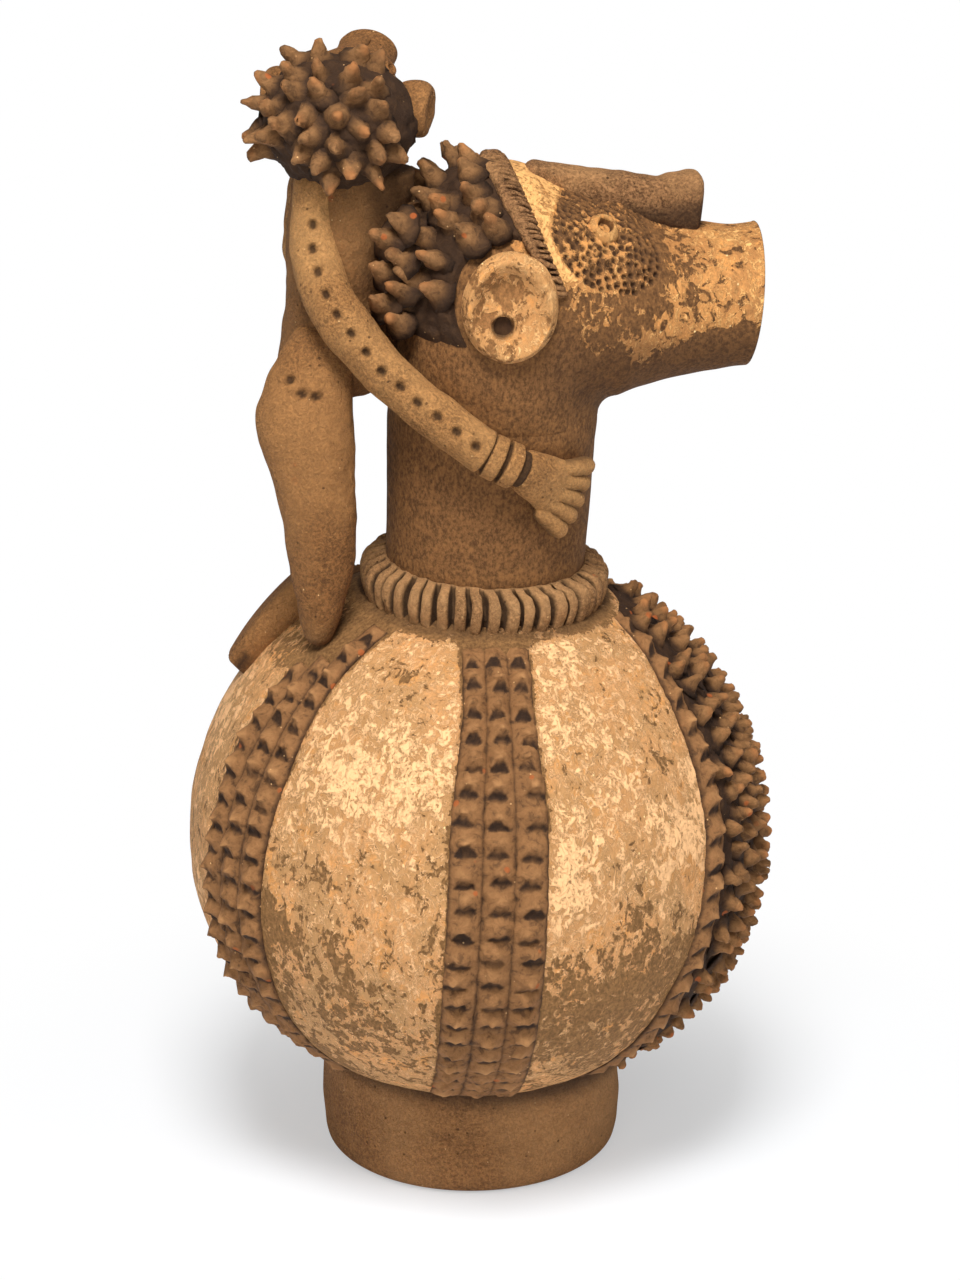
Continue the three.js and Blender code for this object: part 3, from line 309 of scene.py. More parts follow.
def bare_clay(name, low, high, middle):
    """Bare fired clay: a gritty grain of two browns, low and high, clouds of a third, the middle one, small
    pits, orange chips and pale grit. Painted shade darkens the pits, and the places that the piece's deep
    layer marks: hollows, slots, undersides and the places between parts."""
    s = Clay(name)
    cloud = s.noise(18, 3, 0.5)
    coarse = s.noise(110, 4, 0.65, 0.4)
    fine = s.noise(800, 4, 0.75)
    pits = s.specks(270, 0.17, 0.16)
    scratch = s.noise(240, 3, 0.6, 1.5).ridge(0.5, 0.03) * fine.rise(0.4, 0.55)
    colour = s.coats(
        s.mix((fine * 0.75 + coarse * 0.25).rise(0.38, 0.62), low, high),
        (cloud.rise(0.4, 0.62) * 0.45, middle),
        (coarse.rise(0.5, 0.7) * 0.35, low),
        (s.specks(110, 0.24, 0.06) * fine.rise(0.42, 0.5), (190, 102, 51)),
        (s.specks(330, 0.13, 0.12), (233, 191, 132)),
        (scratch * 0.75, middle),
        # The last two coats are painted shade: in the small pits of the relief, and where the deep layer
        # lies.
        (pits * 0.6, (60, 36, 19)),
        (s.layer("deep") * 0.85, (45, 28, 15)),
    )
    height = coarse * 0.5 + fine * 0.4 + scratch * 0.15 - pits * 0.4
    return s.done(colour, height, 0.0026, 0.74 + fine * 0.18)


FORWARD = -4.6  # the foot's middle, mm along the snout's way from the middle of the whole vessel
LEAN = math.radians(2.8)
foot_clay = bare_clay("foot clay", (116, 77, 43), (178, 124, 74), (196, 145, 93))
wall = [(63.4, 52), (63.9, 40), (65, 20), (64.6, 8), (63.2, 2.6), (60.5, 0), (52, 0), (51.5, 10), (51.5, 44)]
rings = spun(np.clip(drawn(wall, 150, 1.5), 0, None), 300)
rings[..., :2] *= (lumps(rings, 60, 1) * 0.008 * smooth(0, 10, rings[..., 2]) + 1)[..., None]
rings[..., 2] -= rings[..., 0] * math.sin(LEAN) * smooth(15, 45, rings[..., 2])
rings[..., 0] += FORWARD
# Painted shade darkens the ring towards its top, under the belly.
painted_shade = smooth(36, 48, rings[..., 2] + rings[..., 0] * math.sin(LEAN))
clay_piece("foot_ring_piece", [closed(rings, loop=True)], foot_clay, "brown_clay", "foot_ring", deep=painted_shade)

# Belly. A round bowl with coils laid on it and beaten to a ball, hollow, and open under the neck. It
# wears a cream slip that has worn thin and flaked off in ragged patches, most of all below.
BELLY = 121.8  # radius of the upper half
DEPTH = 113.5  # how deep the lower half is
MIDDLE = 144.0  # height of the widest line
WALL = 8
SIDE_BAND = 93  # azimuths of the bands of fillets, in degrees from the snout
BACK_BANDS = {"right": -154, "left": 138}


def leaned(points):
    """All above the foot leans forward: a turn about a line across the belly's middle."""
    x, y, z = np.moveaxis(points, -1, 0)
    tall = z * math.cos(LEAN) - x * math.sin(LEAN) + MIDDLE
    return np.stack([x * math.cos(LEAN) + z * math.sin(LEAN) + FORWARD, y, tall], -1)


def shell(rings, loop=False):
    """The closed surface through rings that lean with the vessel."""
    return closed(leaned(rings), loop)


def unit(vectors):
    """Vectors of the same directions, each divided by its length."""
    return vectors / np.linalg.norm(vectors, axis=-1, keepdims=True)


def slip_clay(name, bare_low, bare_high, thin, middle, thick):
    """Cream slip over bare clay. Three noises and the piece's own amount say where slip is left. Most of
    it is a thin wash of two tans, and over that runs a net of thick cream that stands a little proud."""
    s = Clay(name)
    s.place = s.node("ShaderNodeMapping", {"Vector": s.place, "Scale": (1, 1, 0.7)})
    ragged = s.noise(215, 4, 0.62, 0.9)
    fine = s.noise(700, 4, 0.72)
    field = s.noise(26, 3, 0.5) * 0.33 + ragged * 0.47 + fine * 0.2 + s.layer("slip") * 0.5 - 0.25
    slip = field.rise(0.457, 0.485)
    net = s.noise(185, 3, 0.6, 1.3).ridge(0.5, 0.032)
    cream = slip * (net * 0.9 + field.rise(0.56, 0.61)) * fine.rise(0.3, 0.46)
    bare = s.mix((fine * 0.7 + ragged * 0.3).rise(0.36, 0.64), bare_low, bare_high)
    wash = s.coats(
        s.mix(s.noise(40, 3, 0.6).rise(0.42, 0.6), thin, middle),
        (s.noise(100, 4, 0.6).rise(0.55, 0.64) * 0.6, (229, 156, 83)),
        ((1 - ragged.rise(0.44, 0.55)) * 0.45, bare_high),
        (fine.rise(0.45, 0.64) * 0.4, bare_high),
    )
    colour = s.coats(
        s.mix(slip, bare, wash),
        (cream, thick),
        (s.specks(330, 0.14, 0.16) * slip, (252, 219, 157)),
        (s.specks(240, 0.16, 0.14) * 0.6, (107, 69, 35)),
        # painted shade, where the piece's deep layer lies
        (s.layer("deep") * 0.85, (52, 32, 17)),
    )
    height = slip * 0.25 + cream * 0.25 + fine * 0.5 + ragged * 0.2
    return s.done(colour, height, 0.0012, 0.84 - slip * 0.06)


def ball_rings(latitudes, inset):
    """Rings of the belly's ball, whose lower half is a little flatter, set in by a wall."""
    lat = np.radians(latitudes)
    tall = np.where(lat < 0, DEPTH, BELLY) - inset
    return spun(np.stack([(BELLY - inset) * np.cos(lat), tall * np.sin(lat)], -1), 300)


def narrowing(latitude):
    """The width of a band as a share of its full width: it drops by about a quarter near the collar."""
    return 1 - 0.24 * smooth(20, 50, latitude)


cream_slip = slip_clay(
    "cream slip", (110, 77, 42), (165, 120, 72), (190, 142, 91), (217, 157, 100), (250, 195, 138)
)
outside, inside = np.linspace(-89.6, 73.4, 200), np.linspace(73, -89.6, 50)
rings = np.concatenate([ball_rings(outside, 0), ball_rings(inside, WALL)])
east = np.degrees(np.arctan2(rings[..., 1], rings[..., 0]))
north = np.degrees(np.arcsin(np.clip(rings[..., 2] / BELLY, -1, 1)))
swell = lumps(rings, 90, 2) * 0.4 + lumps(rings, 24, 3, 2) * 0.2 - 0.5
rings = rings + unit(rings) * swell[..., None]
bands = np.array([-SIDE_BAND, SIDE_BAND, *BACK_BANDS.values()])
bands = np.abs((east[..., None] - bands + 180) % 360 - 180).min(-1)
bands = bands * np.cos(np.radians(north)) / narrowing(north)
# Beside the bands, and under the collar, the belly carries less slip and painted shade; painted shade also
# darkens it low down, near the foot.
beside = (1 - smooth(8.8, 10.2, bands)) * smooth(66, 62, north)
slipped = 0.6 - 0.2 * smooth(25, -35, north) - 0.4 * beside + 0.1 * smooth(30, 58, north)
slipped -= 0.3 * smooth(61, 63.5, north)
slipped -= 0.25 * smooth(40, 46, north) * smooth(25, 12, np.abs(np.abs(east) - 165))
clay_piece(
    "belly_piece", [shell(rings)], cream_slip, "slip_clay", "lower_bowl", "shoulder_dome",
    slip=slipped + 0.07 * lumps(rings, 110, 4),
    deep=np.maximum(0.35 * beside, 0.6 * smooth(-52, -58, north) + 0.6 * smooth(62.3, 64, north)),
)

# Neck. A wide tube of coils, scraped smooth, that leans a little forward with the head.
NECK = 44.0
NECK_TOP = 193.0
brown_clay = bare_clay("bare brown clay", (100, 65, 34), (160, 109, 61), (186, 133, 79))
head_slip = slip_clay(
    "head slip", (84, 55, 29), (140, 96, 54), (181, 124, 69), (206, 144, 81), (239, 179, 109)
)
outside = [(41.4, 108), (41.8, 120), (42.5, 140), (43.2, 160), (43.7, 178)]
outside = drawn(outside + [(NECK + 0.2, NECK_TOP - 2), (NECK - 1, NECK_TOP + 7)], 70, 2)
inside = np.array([(NECK - WALL, NECK_TOP), (NECK - 9, 150), (33.5, 113)])
rings = spun(np.concatenate([outside, inside]), 240)
swell = 1 + lumps(rings, 50, 5) * 0.006 * smooth(NECK_TOP, NECK_TOP - 12, rings[..., 2])
rings[..., :2] *= swell[..., None]
# Painted shade darkens the neck's foot, under the collar. The neck carries no slip.
clay_piece(
    "neck_piece", [shell(rings, loop=True)], head_slip, "brown_clay", "neck_cylinder",
    deep=0.5 * smooth(130, 122, rings[..., 2]), slip=0 * rings[..., 2],
)

# Collar. A rope of clay laid round the foot of the neck, flattened with the thumb, and cut with a blade
# into beads with deep narrow slots between them.
BEADS = 44
ROOT = 42.0
foot = math.sqrt(BELLY**2 - ROOT**2)
section = [(ROOT, foot - 2), (ROOT - 0.4, foot + 13.6), (ROOT + 9.2, foot + 11), (ROOT + 11.6, foot + 7)]
section = drawn(section + [(ROOT + 11.2, foot + 1.5), (50.6, 109)], 30, 1.0)
rng = np.random.default_rng(6)
steps = np.array([0, 0.03, 0.07, 0.14, 0.26, 0.38, 0.5, 0.59, 0.64, 0.67, 0.7, 0.73, 0.8, 0.88, 0.94, 0.97])
bead, step = np.divmod(np.arange(BEADS * len(steps)), len(steps))
share = steps[step]
turn = 2 * math.pi * (bead + share + rng.uniform(-0.14, 0.14, BEADS)[bead]) / BEADS
cut = (smooth(0.6, 0.72, share) * smooth(1.0, 0.92, share) * rng.uniform(0.8, 1.1, BEADS)[bead])[:, None]
size = 1 + rng.uniform(-0.07, 0.0, BEADS)[bead]
size = (size - 0.08 * smooth(0.14, 0, share) - 0.08 * smooth(0.5, 0.66, share))[:, None]
deep, tall = section[:, 0] - ROOT, section[:, 1]
out = smooth(0.5, 5, deep)
r = ROOT + deep * (size - 0.42 * cut)
z = tall - (6.5 * cut * smooth(foot, foot + 8, tall) + 6 * (1 - size)) * out
slant = turn[:, None] + 0.05 * deep / 11
rings = np.stack([r * np.cos(slant), r * np.sin(slant), z], -1)
collar_clay = bare_clay("collar clay", (112, 77, 44), (178, 130, 83), (203, 154, 102))
# Painted shade darkens the slots between the beads.
clay_piece(
    "collar_piece", [shell(rings + 0.25 * lumps(rings, 9, 7, 2)[..., None], loop=True)],
    collar_clay, "brown_clay", "collar_ring", deep=smooth(0, 0.14, cut) * smooth(0, 0.25, out),
)

# Head. A hollow of coils that turns from the level neck to an upright face, and runs out into an open
# snout with a worn lip. Slip is left on the forehead and on the upper snout, and in flakes on the cheek.
THROAT = 6.5
PIVOT = NECK + THROAT
FACE = 89.5
HALF_FACE = 40.5
SNOUT = 55.0
WAIST = 29.6
EYE = (0.911, 42.5)  # share and angle of the eye on the head
# The field of pits is an oval. Its middle is given in x and z. The rows below measure a place in half
# axes of 25 mm, along a line that falls by 30 degrees, and of 16.2 mm across it.
PATCH = np.array([39.0, 272.8])
PATCH_WAYS = np.array([[0.0346, -0.02], [0.0309, 0.0535]])


def head_at(share, angle, grow=0.0):
    """A point of the head. The plane of an oval turns about a line in front of the throat while share goes
    from 0, level, to 1, upright; angle 0 is the crown line, 180 the throat, in degrees."""
    turn, angle = share * math.pi / 2, np.radians(angle)
    rise = 27 * np.sin(math.pi * np.clip(share, 0, 1) ** 1.3) ** 2
    inner = THROAT + share
    outer = inner + 2 * NECK + (FACE - 2 * NECK) * share + rise
    a = (outer - inner) / 2 + grow
    b = NECK + (HALF_FACE - NECK) * share + 3.5 * np.sin(math.pi * share) + grow
    reach = (inner + outer) / 2 + a * np.cos(angle)
    x, z = PIVOT - reach * np.cos(turn), NECK_TOP + reach * np.sin(turn)
    return np.stack(np.broadcast_arrays(x, b * np.sin(angle), z), -1)


def snout_at(share, angle, grow=0.0):
    """A point of the snout: upright ovals that narrow to a waist, sag a little and turn down a little."""
    angle, droop = np.radians(angle), np.radians(2.8) * share
    narrow = (1 - np.clip(share, 0, 1)) ** 2.3
    a = WAIST + (FACE / 2 - WAIST) * narrow + share**4 + grow
    b = WAIST + (HALF_FACE - WAIST) * narrow + share**4 + grow
    tall = a * np.cos(angle)
    x = PIVOT + 0.3 + SNOUT * share + tall * np.sin(droop)
    z = NECK_TOP + 7.5 + FACE / 2 - 1.6 * share - 2.6 * np.sin(math.pi * share) + tall * np.cos(droop)
    return np.stack(np.broadcast_arrays(x, b * np.sin(angle), z), -1)


def outward(points):
    """Unit normals of a grid of rings, from the two ways the grid runs, turned away from the middles of
    the rings."""
    along = np.gradient(points, axis=0)
    around = np.roll(points, -1, axis=1) - np.roll(points, 1, axis=1)
    n = np.cross(along, around)
    n /= np.linalg.norm(n, axis=-1, keepdims=True) + 1e-9
    away = np.einsum("ijk,ijk->i", n, points - points.mean(1, keepdims=True))
    return n * np.sign(away)[:, None, None]


def pressed(points, spots, radius, depth, rim):
    """How far holes pressed with a stick lower a surface: a steep round hole, and a raised rim round it."""
    drop = np.zeros(points.shape[:-1])
    for spot in spots:
        d = np.linalg.norm(points - spot, axis=-1) / radius
        drop = np.maximum(drop, depth * np.exp(-(d**4))) - rim * np.exp(-(((d - 1.45) / 0.3) ** 2))
    return drop


def scattered(points, gap, seed):
    """Points taken in random order, each at least a gap away from all that were taken before it."""
    taken = np.full((1, 3), 1e6)
    for point in np.random.default_rng(seed).permutation(points):
        if np.linalg.norm(taken - point, axis=1).min() > gap:
            taken = np.vstack([taken, point])
    return taken[1:]


def brow_drop(stage, side):
    """How far the brow sinks beside the nose bar: most at the bar's foot, nothing past the cheekbone."""
    return 5 * smooth(0.7, 0.85, stage) * smooth(1.65, 1.2, stage) * smooth(62, 14, side)


# The stage runs over the head's shares and then, 1 further on, over the snout's. The side is the way
# from the crown line, in degrees.
angle = np.linspace(0, 360, 360, endpoint=False)
side = np.abs((angle + 180) % 360 - 180)
head_share = np.concatenate([np.linspace(0, 0.72, 76, endpoint=False), np.linspace(0.72, 1, 62)])[:, None]
snout_share = np.concatenate([np.linspace(0, 0.25, 24)[1:], np.linspace(0.25, 1, 44)[1:]])[:, None]
stage = np.concatenate([head_share, 1 + snout_share])
outer = soften(np.concatenate([head_at(head_share, angle), snout_at(snout_share, angle)]), 4)
outer -= outward(outer) * brow_drop(stage, side)[..., None]
swell = (lumps(outer, 55, 8) * 0.5 - lumps(outer, 14, 9, 2) * 0.12) * smooth(0, 0.08, stage)
outer += outward(outer) * (swell - 0.4 * smooth(0.05, 0, stage))[..., None]
oval = np.linalg.norm((outer[..., [0, 2]] - PATCH) @ PATCH_WAYS.T, axis=-1)
oval += 3 * (side > 95) + 3 * (side < 9)
patch = smooth(1.06, 0.98, oval + 0.03 * lumps(outer, 12, 19))
rows = np.nonzero((oval < 1.3).any(1))[0]
pits = np.zeros(outer.shape[:2])
for columns in (slice(8, 96), slice(264, 352)):  # the left cheek, the right cheek
    near = (slice(rows[0], rows[-1]), columns)
    skin = outer[near][oval[near] < 0.97]
    skin = skin[np.linalg.norm(np.abs(skin) - head_at(*EYE), axis=1) > 7.5]
    pits[near] += pressed(outer[near], scattered(skin, 2.8, 10), 1.15, 1.7, 0.12)
outer -= outward(outer) * pits[..., None]
lip = np.array([(1.006, -0.7), (1.008, -2), (1.0, -4), (0.98, -7), (0.9, -WALL)])
lip = snout_at(lip[:, :1], angle, lip[:, 1:])
snout_back, head_back = np.linspace(0.75, 0, 8)[:, None], np.linspace(0.95, 0, 20)[:, None]
inner = np.concatenate([snout_at(snout_back, angle, -WALL), head_at(head_back, angle, -WALL)])
inner[..., 2] -= brow_drop(np.concatenate([1 + snout_back, head_back]), side)
# Slip: some all over, more on the upper snout, just above the slip's lower border and on the forehead's
# strip, less on a spot near the mouth. The field of pits has an amount of its own. None lies below the
# border or under the hair.
border = np.interp(stage, [0.5, 1.0, 1.25, 2.0], [104, 122, 114, 96]) + 6 * lumps(outer, 34, 11)
slipped = 0.34 + 0.2 * smooth(1.1, 1.35, stage) * smooth(104, 70, side)
slipped = slipped + 0.14 * np.exp(-(((side - border + 10) / 9) ** 2)) * smooth(0.85, 1.0, stage)
slipped += 0.42 * smooth(0.92, 0.84, stage) * smooth(84, 74, side)
slipped -= 0.14 * (1 - np.hypot((stage - 1.78) / 0.12, (side - 84) / 14).clip(0, 1))
slipped = slipped * smooth(border + 14, border - 6, side) * (1 - patch) + 0.41 * patch
slipped *= smooth(0.55, 0.72, stage)
ear_at = head_at(0.53, 76.0)
# Painted shade darkens the stick's pits, a spot under each ear disc, the head's underside towards the throat,
# and the lip and the inside of snout and head.
shade_behind_ear = np.hypot(outer[..., 0] - ear_at[0], outer[..., 2] - ear_at[2] + 9) < 9
shade_behind_ear = shade_behind_ear & (np.abs(outer[..., 1]) > 25)
shade_under_head = 0.46 * smooth(84, 125, side) * smooth(0.1, 0.5, stage)
unseen = np.zeros((len(lip) + len(inner), 360))
clay_piece(
    "head_piece", [shell(np.concatenate([outer, lip, inner]), loop=True)],
    head_slip, "slip_clay", "head_shell", "snout_spout", slip=[slipped, unseen],
    deep=[np.clip(0.95 * np.maximum(pits, 0) + shade_behind_ear + shade_under_head, 0, 1), unseen + 0.6],
)


# Nose bar. A thick bar of dark clay, pressed on from the hairline to above the mouth, where it ends in a
# square face.
def tube(points, wide, deep, away, sides, square=2.0):
    """A rod of clay along points: ovals, or squarer ovals, whose depth is measured along the direction
    away from the piece that carries the rod."""
    along = unit(np.gradient(points, axis=0))
    across = unit(np.cross(along, away))
    up = np.cross(across, along)
    turn = circle(sides)
    c, s = (np.sign(f) * np.abs(f) ** (2 / square) for f in (np.cos(turn), np.sin(turn)))
    deep, wide = (np.broadcast_to(v, len(points))[:, None, None] for v in (deep, wide))
    return points[:, None] + up[:, None] * deep * c[:, None] + across[:, None] * wide * s[:, None]


def blunt(count, steps):
    """Shrinks the sections at both ends of a rod, to close it with a rounded face: a quarter circle over
    so many steps."""
    near = np.minimum(np.arange(count), np.arange(count)[::-1])
    return np.sqrt(1 - (1 - np.clip((near + 0.15) / steps, 0, 1)) ** 2)


bar_clay = bare_clay("dark bar clay", (86, 55, 30), (172, 124, 80), (204, 152, 98))
share = np.linspace(0, 1, 90)
start = head_at(0.75, 0.0)
top = start[2] + 0.8 - 6 * np.minimum(1, share / 0.65) + 6 * np.maximum(0, share - 0.65)
top -= 1.3 * np.exp(-(((share - 0.74) / 0.09) ** 2))
low = start[2] - 15 - 15 * share**0.8
middle = np.stack([start[0] + 77 * share, 0 * share, (top + low) / 2], -1)
end = blunt(90, 5)
up = np.broadcast_to([0.0, 0, 1], middle.shape)
wide, deep = 8.5 * (0.85 + 0.25 * share) * end, (top - low) / 2 * (0.3 + 0.7 * end)
rings = tube(soften(middle, 3), wide, deep, up, 48, 3.4)
rings += (lumps(rings, 18, 12) * 0.5)[..., None] * (0, 1, 0.5) * end[:, None, None]
# Painted shade darkens the lower part of the bar.
painted_shade = 0.9 * smooth(8, 14, top[:, None] - rings[..., 2])
clay_piece("nose_piece", [shell(rings)], bar_clay, "dark_clay", "nose_bridge", deep=painted_shade)


# Eyes. A pellet on each side, pushed in with a round stick so that a rim of clay stands up round it.
def placed(profile, sides, centre, axis, stretch=1):
    """Rings of a turned profile of radii and heights, set on a centre along an axis, and stretched across
    its level direction."""
    axis = unit(axis)
    first = unit(np.cross(axis, (0, 0, 1)))
    flat = spun(profile, sides) * (1, stretch, 1)
    return centre + flat @ np.array([first, np.cross(axis, first), axis])


SIDES = (("right", -1), ("left", 1))
eye_clay = slip_clay(
    "eye slip", (107, 69, 33), (163, 112, 62), (175, 122, 69), (194, 140, 81), (222, 167, 102)
)
pellet = [
    (0.2, -4), (6.6, -4), (6.3, 0), (5.4, 1.1), (4.3, 2.2), (3.3, 1.7), (2.7, 0), (2.2, -2), (0.2, -2.4),
]
for name, sign in SIDES:
    share, angle = EYE[0], EYE[1] * sign
    around = head_at(share, angle + 1) - head_at(share, angle - 1)
    axis = unit(np.cross(around, head_at(0.93, angle) - head_at(0.89, angle)))
    axis *= np.sign(axis[2])
    at = head_at(share, angle) - axis * (brow_drop(*EYE) - 1.0)
    axis = axis + (0, 0, 0.15)
    rings = placed(drawn(pellet, 50, 1.8), 48, at, axis, 1.12)
    rings += axis * (lumps(rings, 8, 13 + sign, 2) * 0.45)[..., None]
    # Painted shade darkens the stick's hole, and less slip is left there.
    deep = smooth(4.2, 2.4, np.linalg.norm(rings - at, axis=-1))
    clay_piece(
        "eye_piece_" + name, [shell(rings)], eye_clay, "dark_clay", "eye_ring_" + name,
        deep=deep, slip=0.5 - 0.5 * deep,
    )

# Ears. An oval disc on each side of the head, hollowed with the thumb, with a rounded rim and a hole
# that was pushed through below its middle.
ear_clay = slip_clay(
    "ear slip", (118, 80, 44), (172, 120, 70), (192, 139, 84), (212, 156, 97), (238, 184, 122)
)
turn = circle(160)
hole = np.stack([-2.5 + 3.6 * np.cos(turn), -9 + 4.2 * np.sin(turn) + 1.1 * np.sin(turn) ** 2], -1)
rim = np.stack([20 * np.cos(turn), 23.6 * np.sin(turn)], -1)
# From the hole's edge over the hollow face to the rim, round it, and back under it to the hole.
flat = hole + (rim * 0.93 - hole) * (np.linspace(0, 1, 44) ** 0.8)[:, None, None]
oval = np.hypot(flat[..., 0] / 20.5, flat[..., 1] / 24.5)
lip = np.linalg.norm(flat - (-2.5, -8.7), axis=-1)
thick = 3.2 + 5.6 * smooth(0.4, 0.84, oval) - 2.6 * smooth(0.84, 0.93, oval)
thick = thick + 1.3 * np.exp(-(((lip - 6) / 1.6) ** 2)) - 1.2 * smooth(5.2, 4, lip)
back = [(rim * 0.975, 5), (rim, 3.6), (rim * 0.985, 1.8), (rim * 0.9, 0), (hole * 1.02, 0), (hole * 1.02, 2)]
back = [np.column_stack([line, np.full(160, height)]) for line, height in back]
disc = np.concatenate([np.dstack([flat, thick]), back])
for name, sign in SIDES:
    rings = disc.copy()
    rings[..., :2] *= (1 + 0.012 * lumps(rings, 30, 15 + sign))[..., None]
    rings[..., 2] += 0.3 * lumps(rings, 14, 17 + sign) * smooth(0, 3, rings[..., 2])
    hollow = smooth(0.9, 0.3, np.hypot(rings[..., 0] / 20.5, rings[..., 1] / 24.5))
    ways = unit(np.array([(-sign, -0.08, 0), (0, 0, 1), (-0.08, sign, 0)]))
    centre = (ear_at - (0, 1, 0)) * (1, sign, 1)
    # The upper hollow, under the rim, is darkened with less slip, as painted shade; painted shade also
    # darkens the clay round the hole and the hole's wall.
    clay_piece(
        "ear_piece_" + name, [shell(centre + rings @ ways, loop=True)],
        ear_clay, "slip_clay", "ear_disc_" + name,
        slip=0.52 - 0.12 * hollow * smooth(-12, 8, rings[..., 1]),
        deep=[smooth(5.4, 3.8, lip), np.zeros((4, 160)), np.ones((2, 160))],
    )


# Hairline. A fillet from ear to ear in front of the hair, combed with a pointed stick so that slanting
# teeth hang over the forehead.
def uneven(rings, wave, seed, amount):
    """Moves a surface in and out along its normals by a hand's unevenness."""
    return rings + outward(rings) * (amount * lumps(rings, wave, seed))[..., None]


def slab(upper, lower):
    """Rings across a sheet of clay: over its upper face and back under its lower one."""
    return np.concatenate([upper, lower[:, ::-1]], axis=1)


angle = np.linspace(-84, 84, 760)[:, None]
width = np.linspace(-1, 1, 16)
wander = 0.5 * np.sin(angle * 0.13) + 0.45 * np.sin(angle * 0.71 + 1)
teeth = (angle * 0.72 + width + wander) % 2.2 / 2.2
comb = smooth(-0.35, 0.5, width) * np.maximum(smooth(0.3, 0.08, teeth), smooth(0.84, 1, teeth))
mound = np.sqrt(np.clip(1 - np.abs(width) ** 3, 0, 1)) * blunt(760, 14)[:, None]
share = 0.695 + 0.028 * width + 0.004 * (1 - comb) * smooth(0.5, 1, width)
upper = uneven(head_at(share, angle, -0.8 + 4.6 * mound * (1 - 0.66 * comb)), 8, 18, 0.35)
# Painted shade darkens the grooves between the teeth.
clay_piece(
    "hairline_piece", [shell(slab(upper, head_at(share, angle, -1.5)))],
    bar_clay, "dark_clay", "hairline_fillet", deep=np.concatenate([comb, 0 * comb], axis=1),
)


# Hair. Horns of clay, each pulled up between two fingers and a thumb from a coat of wet clay over the
# back of the head. They stop at the ears, and where the rider leans on the head.
def horns(roots, ways, lengths, widths, seed):
    """Hand-pulled horns on roots, closed at foot and tip: eight rings of nine points on a slightly bent
    line. The radius is widest at the sunk foot, shrinks almost evenly and closes quickly at the tip. With
    them comes the place of each point along its horn, 0 at the root and 1 at the tip."""
    rng = np.random.default_rng(seed)
    n = len(roots)
    t = np.array([-0.14, 0.02, 0.16, 0.36, 0.58, 0.78, 0.94, 1.0])
    girth = np.array([1.8, 1.4, 1.06, 0.84, 0.66, 0.5, 0.33, 0.1])
    ways = unit(ways)
    first = unit(np.cross(ways, rng.normal(size=(n, 3))))
    second = np.cross(ways, first)
    turn = circle(9)
    girth = girth[None, :, None] * (1 + 0.1 * rng.normal(size=(n, 8, 1))) * widths[:, None, None]
    oval = 1 + rng.uniform(0, 0.22, (n, 1, 1))
    bend = rng.uniform(0, 0.16, (n, 1, 1))
    line = roots[:, None] + (t[:, None] * lengths[:, None, None]) * ways[:, None]
    line = line + first[:, None] * bend * (t[:, None] ** 2) * lengths[:, None, None]
    rings = line[:, :, None] + first[:, None, None] * (girth * oval * np.cos(turn))[..., None]
    rings = rings + second[:, None, None] * (girth / oval * np.sin(turn))[..., None]
    rings = rings + (first + second)[:, None, None] * rng.normal(size=(n, 8, 9, 1)) * 0.2
    starts = np.arange(n) * 72
    quads = (closed(rings[0])[1] + starts[:, None, None]).reshape(-1, 4)
    caps = [k + np.arange(9)[::-1] for k in starts] + [k + 63 + np.arange(9) for k in starts]
    tips = np.broadcast_to(np.clip(t, 0, 1)[None, :, None], (n, 8, 9))
    return (leaned(rings).reshape(-1, 3), quads, caps), tips


def horned_piece(name, coat, horns_and_tips, clay, node):
    """A piece of a coat and its horns."""
    horn_shells, tips = horns_and_tips
    # The coat is all root, and takes the painted shade of the horns' roots.
    tip = [np.zeros(coat.shape[:2]), tips]
    clay_piece(name, [shell(coat), horn_shells], clay, "dark_clay", node, tip=tip)


def horn_clay(name, shade_and_fleck, body, tip):
    """Pinched clay: painted shade darkens the valleys at the horns' roots, the flanks are brown, and tips
    that touch has worn orange. Dark flecks of the same colour lie in the grain.
    """
    s = Clay(name)
    along = s.layer("tip")
    grain = s.noise(230, 6, 0.7, 0.5)
    worn = along.rise(0.45, 1.0) * s.noise(60, 3, 0.6).rise(0.42, 0.62) * 0.8
    colour = s.coats(
        s.mix((along + grain * 0.4).rise(0.14, 0.6), shade_and_fleck, body),
        (grain.rise(0.46, 0.64) * along.rise(0.1, 0.6) * 0.5, (172, 124, 78)),
        ((1 - grain.rise(0.36, 0.47)) * 0.5, shade_and_fleck),
        (worn, tip),
        (s.specks(330, 0.15, 0.1), (212, 167, 113)),
        (s.specks(160, 0.28, 0.07) * 0.7, (177, 91, 42)),
    )
    return s.done(colour, grain * 0.7 + s.noise(1300, 3, 0.6) * 0.3, 0.0016, 0.74 + grain * 0.16)


def staggered(start, end, row_pitch, pitch_at, reach_at, seed):
    """Places in rows from start to end: rows a pitch apart, each with as many places as its length holds,
    every second row moved on by half a place, and all of them a little off."""
    rng = np.random.default_rng(seed)
    sway = 0.22
    count = max(2, round((end - start) / row_pitch))
    places = []
    for i in range(count):
        u = start + (end - start) * (i + 0.5) / count
        wide = reach_at(u)
        cells = max(2, round(2 * wide / pitch_at(u)))
        j = np.arange(cells) + 0.25 + 0.5 * (i % 2)
        v = -wide + 2 * wide * (j + rng.uniform(-sway, sway, cells)) / cells
        places.append(np.stack([np.full(cells, u) + rng.uniform(-sway, sway, cells) * row_pitch, v], -1))
    return np.concatenate(places)


